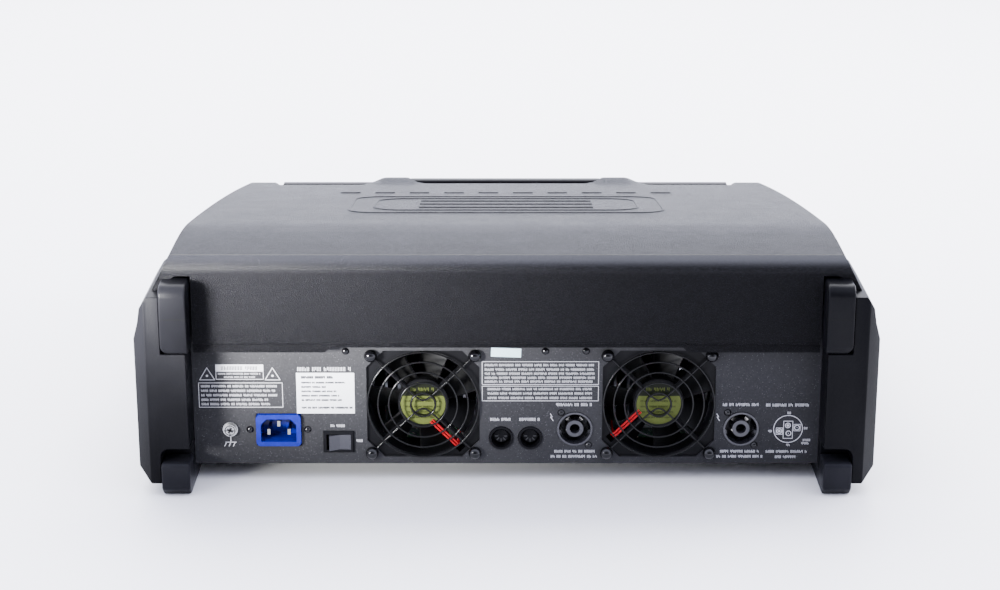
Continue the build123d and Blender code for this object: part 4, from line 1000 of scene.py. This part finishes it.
# ---------------------------------------------------------------- fans
@dataclass
class Fan:
    """Dresses one fan's frame, rotor and leads and makes its guard and badge."""

    hand: str
    pitch: float = 71.5
    wire: float = 0.64
    weld_in: float = 0.3        # the rings are welded this far into the bent wires
    knee: float = 3.5
    middle_gap: float = 3.0
    rings: tuple[float, ...] = (8.5, 16.1, 23.7, 31.2, 38.4)
    eye: float = 3.6
    badge: float = 15.6

    def __post_init__(self) -> None:
        """Takes the fan's place from its CAD nodes."""
        self.x, _, self.z = middle("fan_frame_" + self.hand)
        self.panel = ends("rear_panel")[1][1]

    def cross_wire(self, up: int) -> Array:
        """Path of a bent wire: straight arms to the screws and a rounded knee by the middle.

        Height over the knee is the square root of run squared plus knee squared, scaled to the arm.
        """
        half = self.pitch / 2
        reach = half - self.eye / math.sqrt(2)
        x = np.linspace(-reach, reach, 61)
        bow = np.sqrt(x ** 2 + self.knee ** 2)
        share = (bow - self.knee) / (math.hypot(reach, self.knee) - self.knee)
        z = self.middle_gap + share * (reach - self.middle_gap)
        return np.stack([self.x + x, np.full(61, self.panel + self.wire), self.z + up * z], axis=1)

    def guard(self) -> bpy.types.Object:
        """Welded guard: five rings, two bent wires and four screw eyes."""
        surface = Surface()
        ring_y = self.panel + 3 * self.wire - self.weld_in
        for radius in self.rings:
            surface.tube(circle(self.x, ring_y, self.z, radius, 96), self.wire, 12, True)
        for up in (-1, 1):
            surface.tube(self.cross_wire(up), self.wire, 12)
        half = self.pitch / 2
        for a in (-half, half):
            for b in (-half, half):
                eye = circle(self.x + a, self.panel + self.wire, self.z + b, self.eye, 28)
                surface.tube(eye, self.wire, 12, True)
        node = "fan_guard_" + self.hand
        return settle(surface.object(node + "_shape", Finish.WIRE), CONSOLE, node)

    def badge_disc(self) -> None:
        """Round film on the motor base, with a dark cap, a ring and plain printed rows."""
        y = ends("fan_frame_" + self.hand)[1][1]
        film, cap, pale, rows = Surface(), Surface(), Surface(), Surface()
        profile = np.array([[0.0, 0.12], [self.badge - 0.2, 0.12], [self.badge, 0.0], [0.0, 0.0]])
        film.lathe((self.x, y, self.z), profile, 64)
        rng = np.random.default_rng(7)
        for height, size in ((1.5, 1.2), (-2.5, 1.2), (-6.5, 1.0), (-10.5, 1.0)):
            reach = math.sqrt(self.badge ** 2 - height ** 2) - 3.0
            rows.bars(greeked(rng, self.x + reach, self.x - reach, self.z + height, size, y + 0.1, y + 0.2))
        rows.tube(circle(self.x, y + 0.12, self.z, 8.6, 48), 0.5, 6, True)
        turn = np.linspace(math.radians(20), math.radians(160), 41)
        x, z = self.x + self.badge * np.cos(turn), self.z + self.badge * np.sin(turn)
        arch = np.stack([x, np.full(41, y + 0.2), z], axis=1)
        cap.add(np.concatenate([arch, arch - np.array([0.0, 0.15, 0.0])]),
                np.concatenate([grid_faces(2, 41), np.array([[40, 0, 41, 81]])]))
        cap.add(arch, np.arange(41)[None])
        pale.bars(greeked(rng, self.x + 8.6, self.x - 8.6, self.z + 10.2, 2.6, y + 0.19, y + 0.27))
        film.flat("fan_badge_" + self.hand, Finish.BADGE)
        cap.flat("fan_badge_cap_" + self.hand, Finish.BADGE_CAP)
        pale.flat("fan_badge_row_" + self.hand, Finish.BADGE, weld=FINE_WELD)
        rows.flat("fan_badge_print_" + self.hand, Finish.BADGE_INK, weld=FINE_WELD)

    def build(self) -> None:
        """Makes the guard and the badge and dresses frame, rotor and leads."""
        self.guard()
        self.badge_disc()
        dress("fan_frame_" + self.hand, Finish.HOUSING)
        dress("fan_rotor_" + self.hand, Finish.BLADE)
        dress("fan_leads_" + self.hand, Finish.RED_LEAD)


# ---------------------------------------------------------------- printing
def greeked(
    rng: np.random.Generator, start: float, stop: float, z: float, tall: float, y0: float, y1: float,
    weight: float = 1.0,
) -> Array:
    """A row of plain upright strokes in word-like groups, with no letter forms.

    Args:
        rng: seeded source of the groups' lengths.
        start: place of the row's left end, seen from behind, so the larger x.
        stop: place of its right end.
        z: middle height.
        tall: height of a block.
        y0: back of the print.
        y1: front of the print.
        weight: width of a stroke over its usual width.

    Returns:
        (n, 6) array of boxes.
    """
    stroke = tall * 0.17
    boxes = []
    at = start
    left = int(rng.integers(2, 8))
    while at - 3 * stroke > stop:
        for shift in (0.0, 2.1 * stroke):
            cut = tall * float(rng.choice([0.0, 0.0, 0.0, 0.3]))
            edge = at - shift
            low = z - tall * 0.5 + cut * (shift == 0)
            top = z + tall * 0.5 - cut * (shift > 0)
            boxes.append((edge - stroke * weight, edge, y0, y1, low, top))
        at -= 4.4 * stroke
        left -= 1
        if left == 0:
            at -= 3.2 * stroke
            left = int(rng.integers(2, 9))
    return np.array(boxes)


@dataclass
class Legends:
    """Screen printing on the rear panel: frames, symbols and plain rows in place of words."""

    ink: float = 0.05
    line: float = 0.35

    def __post_init__(self) -> None:
        """Takes the panel's face from its CAD node."""
        self.y = ends("rear_panel")[1][1]
        self.rng = np.random.default_rng(20)
        self.white = Surface()
        self.dark = Surface()

    def row(self, start: float, stop: float, z: float, tall: float, dark: bool = False) -> None:
        """Adds a plain row from start to stop, the dark ones over a white block."""
        front = self.y + (2.2 * self.ink if dark else self.ink)
        target = self.dark if dark else self.white
        target.bars(greeked(self.rng, max(start, stop), min(start, stop), z, tall, self.y - SINK, front))

    def box(self, x0: float, x1: float, z0: float, z1: float, line: Optional[float] = None) -> None:
        """Adds an outlined frame."""
        w = line or self.line
        y0, y1 = self.y - SINK, self.y + self.ink
        self.white.bars(np.array([
            (x0, x1, y0, y1, z0, z0 + w), (x0, x1, y0, y1, z1 - w, z1),
            (x0, x0 + w, y0, y1, z0, z1), (x1 - w, x1, y0, y1, z0, z1),
        ]))

    def block(self, x0: float, x1: float, z0: float, z1: float) -> None:
        """Adds a filled block."""
        self.white.bars(np.array([(x0, x1, self.y - SINK, self.y + self.ink, z0, z1)]))

    def stroke(self, points: Sequence[tuple[float, float]], width: float = 0.4) -> None:
        """Adds a printed line through (x, z) points, as flat bars turned along each run."""
        path = np.array(points, float)
        for a, b in zip(path[:-1], path[1:]):
            self.white.strip(a, b, width, self.y - SINK, self.y + self.ink, width / 2)

    def ring(self, x: float, z: float, radius: float, width: float = 0.4) -> None:
        """Adds a printed circle: two radii on a closed strip, raised by the ink."""
        inner, outer = radius - width / 2, radius + width / 2
        around = ((inner, -SINK), (inner, self.ink), (outer, self.ink), (outer, -SINK), (inner, -SINK))
        self.white.lathe((x, self.y, z), np.array(around), 48)

    def disc(self, x: float, z: float, radius: float) -> None:
        """Adds a printed dot."""
        profile = np.array([[0.0, self.ink], [radius, self.ink], [radius, -SINK]])
        self.white.lathe((x, self.y, z), profile, 24)

    def bolt(self, x: float, z: float) -> None:
        """Adds a plain zigzag of three strokes."""
        self.stroke([(x + 1.0, z + 2.5), (x - 0.3, z + 0.2), (x + 0.8, z + 0.2), (x - 0.9, z - 2.5)], 0.45)

    def triangle(self, x: float, z: float, size: float) -> None:
        """Adds an outlined triangle."""
        self.stroke([(x - size, z - size * 0.8), (x + size, z - size * 0.8), (x, z + size * 0.9),
                     (x - size, z - size * 0.8)], 0.4)

    def earth_symbol(self, x: float, z: float) -> None:
        """Adds a chassis earth sign: stem, bar and three slanted legs."""
        self.stroke([(x, z + 4.5), (x, z + 0.5)], 0.5)
        self.stroke([(x - 3.6, z + 0.5), (x + 3.6, z + 0.5)], 0.5)
        for place in (-3.0, 0.0, 3.0):
            self.stroke([(x + place, z + 0.5), (x + place + 1.4, z - 2.4)], 0.5)

    def wiring(self, x: float, z: float) -> None:
        """Adds the output wiring figure: a circle with four framed contacts and a few ticks."""
        self.ring(x, z, 10.0, 0.5)
        self.box(x - 3.4, x + 3.4, z - 7.2, z + 6.0, 0.45)
        for a, b, framed in ((0.2, 2.6, False), (-0.4, -3.2, False), (6.0, -1.6, True), (-6.2, 1.0, True)):
            self.ring(x + a, z + b, 1.7, 0.6)
            if framed:
                self.box(x + a - 2.4, x + a + 2.4, z + b - 2.6, z + b + 2.6, 0.4)
            self.disc(x + a, z + b, 0.9 if a > 0 else 0.3)
        for a, b, wide in ((-0.8, 11.9, 1.6), (-12.2, 0.6, 1.2), (12.4, -1.6, 1.2), (-0.8, -11.9, 1.6),
                           (-13.2, -8.2, 2.6), (-12.6, -10.6, 3.0)):
            self.row(x + a + wide, x + a - wide, z + b, 1.8)

    def build(self) -> None:
        """Prints everything."""
        rows = self.row
        self.block(167.4, 200.3, 80.3, 85.6)
        rows(196.5, 171.5, 83.0, 2.9, dark=True)
        self.box(167.4, 200.3, 74.7, 80.6)
        rows(198.8, 169.2, 78.9, 1.2)
        rows(194.5, 173.0, 76.5, 1.2)
        for x in (206.3, 161.2):
            self.triangle(x, 78.6, 5.2)
            self.disc(x, 77.4, 0.8)
        self.box(154.5, 212.6, 54.2, 72.4)
        for z in (69.8, 66.5, 63.2, 59.9, 56.7):
            rows(210.8, 157.0 + self.rng.uniform(0, 8), z, 1.7)
        rows(144.0, 107.0, 82.3, 2.9)
        rows(122.0, 111.0, 40.7, 2.0)
        rows(104.2, 98.8, 29.6, 2.0)
        for x in (3.8, -16.4):
            rows(x + 7.5, x - 7.5, 45.4, 2.2)
        for z in (85.2, 82.0, 79.0, 76.0, 73.2):
            rows(15.0, -61.0, z, 1.7)
        self.box(-63.5, 17.0, 70.9, 87.9)
        self.box(-63.5, 17.0, 58.9, 70.0)
        for z in (67.7, 64.5, 61.2):
            rows(13.0, -59.0, z, 1.7)
        for x in (-47.3, -162.6):
            rows(x + 13.0, x - 13.0, 56.3, 2.2)
            rows(x + 14.0, x - 14.0, 21.7, 2.0)
            rows(x + 16.5, x - 16.5, 17.9, 2.0)
            self.bolt(x + 16.0, 47.0)
        self.wiring(-195.3, 38.3)
        rows(-179.5, -211.5, 56.0, 2.2)
        rows(-180.5, -210.0, 21.6, 2.0)
        rows(-187.0, -202.0, 17.6, 2.0)
        self.earth_symbol(191.6, 28.0)
        self.white.flat("panel_print", Finish.WHITE_INK, weld=FINE_WELD)
        self.dark.flat("panel_print_dark", Finish.DARK_INK, weld=FINE_WELD)


# ---------------------------------------------------------------- rear fittings
@dataclass
class RearFittings:
    """Sockets, switch, labels and screws of the rear panel."""

    core_depth: float = 5.0

    def label_print(self) -> None:
        """Plain rows on the rating label."""
        low, high = ends("rating_label")
        rng = np.random.default_rng(3)
        surface = Surface()
        y = high[1]
        lines = ((26.5, 22.0, 1.9), (22.6, 30.0, 1.3), (19.4, 18.0, 1.3), (16.2, 24.0, 1.3),
                 (13.0, 26.0, 1.3), (9.8, 28.0, 1.3), (4.2, 35.0, 1.5))
        for z, length, tall in lines:
            start = high[0] - 3.4
            surface.bars(greeked(rng, start, start - length, low[2] + z, tall, y - SINK, y + 0.04, 1.9))
        surface.flat("rating_label_print", Finish.DARK_INK, weld=FINE_WELD)

    def contacts(self) -> None:
        """Five contact slots in a half circle on the core of each small round socket."""
        surface = Surface()
        turn = np.radians(np.linspace(180, 360, 5))
        for node in ("midi_in_socket", "midi_out_socket"):
            x, _, z = middle(node)
            y = ends(node)[1][1] - self.core_depth
            for a in turn:
                near, far = np.array([x, z]) + np.outer((1.9, 4.3), (math.cos(a), math.sin(a)))
                surface.strip(near, far, 0.64, y - 0.1, y + 0.35)
        surface.flat("round_socket_contacts", Finish.CONTACT, METAL)

    def paint_earth_head_shade(self) -> None:
        """Painted shade on the earth terminal's head: a dark cross for the shade in its recess and a washer
        shadow ring.
        """
        low, high = ends("earth_terminal")
        x, _, z = middle("earth_terminal")
        head = (high[0] - low[0]) / 2
        surface = Surface()
        # Painted shade: two dark bars across the head stand for the shade in its cross recess.
        for turn in (0.5, 0.5 + math.pi / 2):
            reach = 0.44 * head * np.array([math.cos(turn), math.sin(turn)])
            centre = np.array([x, z])
            surface.strip(centre - reach, centre + reach, 0.26 * head, high[1] - 0.2, high[1] + 0.06)
        # Painted shadow: a dark ring half sunk in the head where the washer shades it.
        washer_shadow_ring = circle(x, high[1] - 0.05, z, 0.66 * head, 48)
        surface.tube(washer_shadow_ring, 0.07 * head, 8, True)
        surface.flat("earth_terminal_painted_shade", Finish.RECESS, METAL)

    def sticker(self) -> None:
        """Small pale sticker above the middle, turned by two degrees."""
        y = ends("rear_panel")[1][1]
        turn = math.radians(2.0)
        surface = Surface()
        corners = np.array([(-10.3, -3.2), (10.3, -3.2), (10.3, 3.2), (-10.3, 3.2)])
        spin = np.array([[math.cos(turn), -math.sin(turn)], [math.sin(turn), math.cos(turn)]])
        plan = corners @ spin.T + np.array([0.4, 94.3])
        surface.slab(plan, y - SINK, y + 0.1)
        surface.flat("small_sticker", Finish.PALE_BLUE)

    def build(self) -> None:
        """Dresses the fittings and prints the labels."""
        dress_all({
            Finish.BLUE: "inlet_housing",
            Finish.PLATED: "inlet_pins speaker_contacts",
            Finish.BLACK: "switch_housing midi_in_socket midi_out_socket",
            Finish.GLOSS: "power_rocker speaker_socket_right speaker_socket_left",
            Finish.ZINC: "earth_terminal",
            Finish.SCREW: "panel_screws fan_screws",
            Finish.PAPER: "rating_label",
        })
        self.label_print()
        self.paint_earth_head_shade()
        self.sticker()
        self.contacts()


# ---------------------------------------------------------------- control surface and inside
def dress_inside() -> None:
    """Dresses the knobs, faders and sockets under the lid, and what is inside the pan."""
    channels = " ".join(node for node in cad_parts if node.startswith("channel_fader"))
    dress_all({
        Finish.KNOB_LIGHT: "gain_knobs phantom_button standby_button master_fader_left master_fader_right "
                           + channels,
        Finish.KNOB_GREY: "tone_knobs",
        Finish.KNOB_BLUE: "send_knobs",
        Finish.ZINC: "fader_tracks",
        Finish.DISPLAY: "effects_display",
        Finish.GLOSS: "input_sockets",
        Finish.BLACK: "jack_sockets power_transistors",
        Finish.BOARD: "mixer_board amp_board",
        Finish.ALUMINIUM: "heat_sinks",
        Finish.CORE: "transformer",
        Finish.CAN: "capacitors",
    })


# ---------------------------------------------------------------- studio
@dataclass
class Studio:
    """Floor, lights, surroundings and camera."""

    lens: float = 79.2
    eye: tuple[float, float, float] = (0.00456, 1.6445, 0.586)
    pitch: float = 17.5
    reach: float = 9.0          # half the floor's side

    def floor(self) -> None:
        """Wide pale floor on the plane that the console stands on."""
        mesh = bpy.data.meshes.new("floor")
        corners = [(a * self.reach, b * self.reach, 0) for a, b in ((-1, -1), (1, -1), (1, 1), (-1, 1))]
        mesh.from_pydata(corners, [], [(0, 1, 2, 3)])
        mesh.materials.append(Paint("floor_paper").finished((0.90, 0.89, 0.885, 1.0), 0.6))
        placed("floor", mesh)

    def lamp(
        self, name: str, place: Place, target: Place, size: Place, power: float, spread: float = 180.0,
    ) -> None:
        """Adds a soft rectangular lamp.

        Args:
            name: the lamp's name.
            place: its centre, in metres.
            target: the point that it faces.
            size: its width and height.
            power: watts.
            spread: opening angle of its beam, in degrees.
        """
        light = bpy.data.lights.new(name, "AREA")
        light.spread = math.radians(spread)
        light.shape = "RECTANGLE"
        light.size, light.size_y = size
        light.energy = power
        made = placed(name, light)
        from_to = np.array(target, float) - np.array(place, float)
        flat = math.hypot(from_to[0], from_to[1])
        made.location = place
        made.rotation_euler = (math.atan2(flat, -from_to[2]), 0.0, math.atan2(-from_to[0], from_to[1]))

    def world(self) -> None:
        """Surroundings: bright beyond the console and overhead, dimmer behind the camera."""
        world = bpy.data.worlds.new("studio")
        bpy.context.scene.world = world
        world.use_nodes = True
        nodes = Nodes(world.node_tree)
        place = nodes.node("ShaderNodeTexCoord").outputs["Generated"]
        split = nodes.node("ShaderNodeSeparateXYZ", None, {0: place})
        beyond = Value(nodes, split.outputs[1]).ramp(1.0, 0.42)
        colour = nodes.mix(beyond, (0.02, 0.02, 0.024), (4.1, 4.25, 5.3))
        back = nodes.node("ShaderNodeBackground", None, {"Color": colour, "Strength": 0.95})
        nodes.node("ShaderNodeOutputWorld", None, {"Surface": back.outputs[0]})

    def camera(self) -> None:
        """Camera behind the console, looking a little down."""
        data = bpy.data.cameras.new("camera")
        data.lens = self.lens
        data.sensor_width = 36.0
        data.clip_end = 50.0
        made = placed("camera", data)
        made.location = self.eye
        made.rotation_euler = (math.radians(90.0 - self.pitch), 0.0, math.pi)
        bpy.context.scene.camera = made

    def build(self) -> None:
        """Sets the stage."""
        self.floor()
        self.world()
        self.camera()
        self.lamp("key", place=(0.52, 0.60, 0.21), target=(0.20, 0.23, 0.19), size=(0.18, 0.14),
                  power=4.8, spread=32.0)
        self.lamp("top", place=(0.2, -1.5, 1.9), target=(0.0, 0.0, 0.0), size=(2.8, 2.2), power=230.0)
        self.lamp("far_right", place=(-2.0, -0.7, 0.8), target=(-0.25, 0.1, 0.08), size=(1.3, 1.3),
                  power=60.0)


def main() -> None:
    """Builds the studio and every sub-assembly in order."""
    logging.basicConfig(level=logging.INFO, format="%(message)s")
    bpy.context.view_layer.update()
    Studio().build()
    Casing().build()
    Lid().build()
    for hand in HANDS:
        Fan(hand).build()
    Legends().build()
    RearFittings().build()
    dress_inside()


if __name__ == "__main__":
    main()
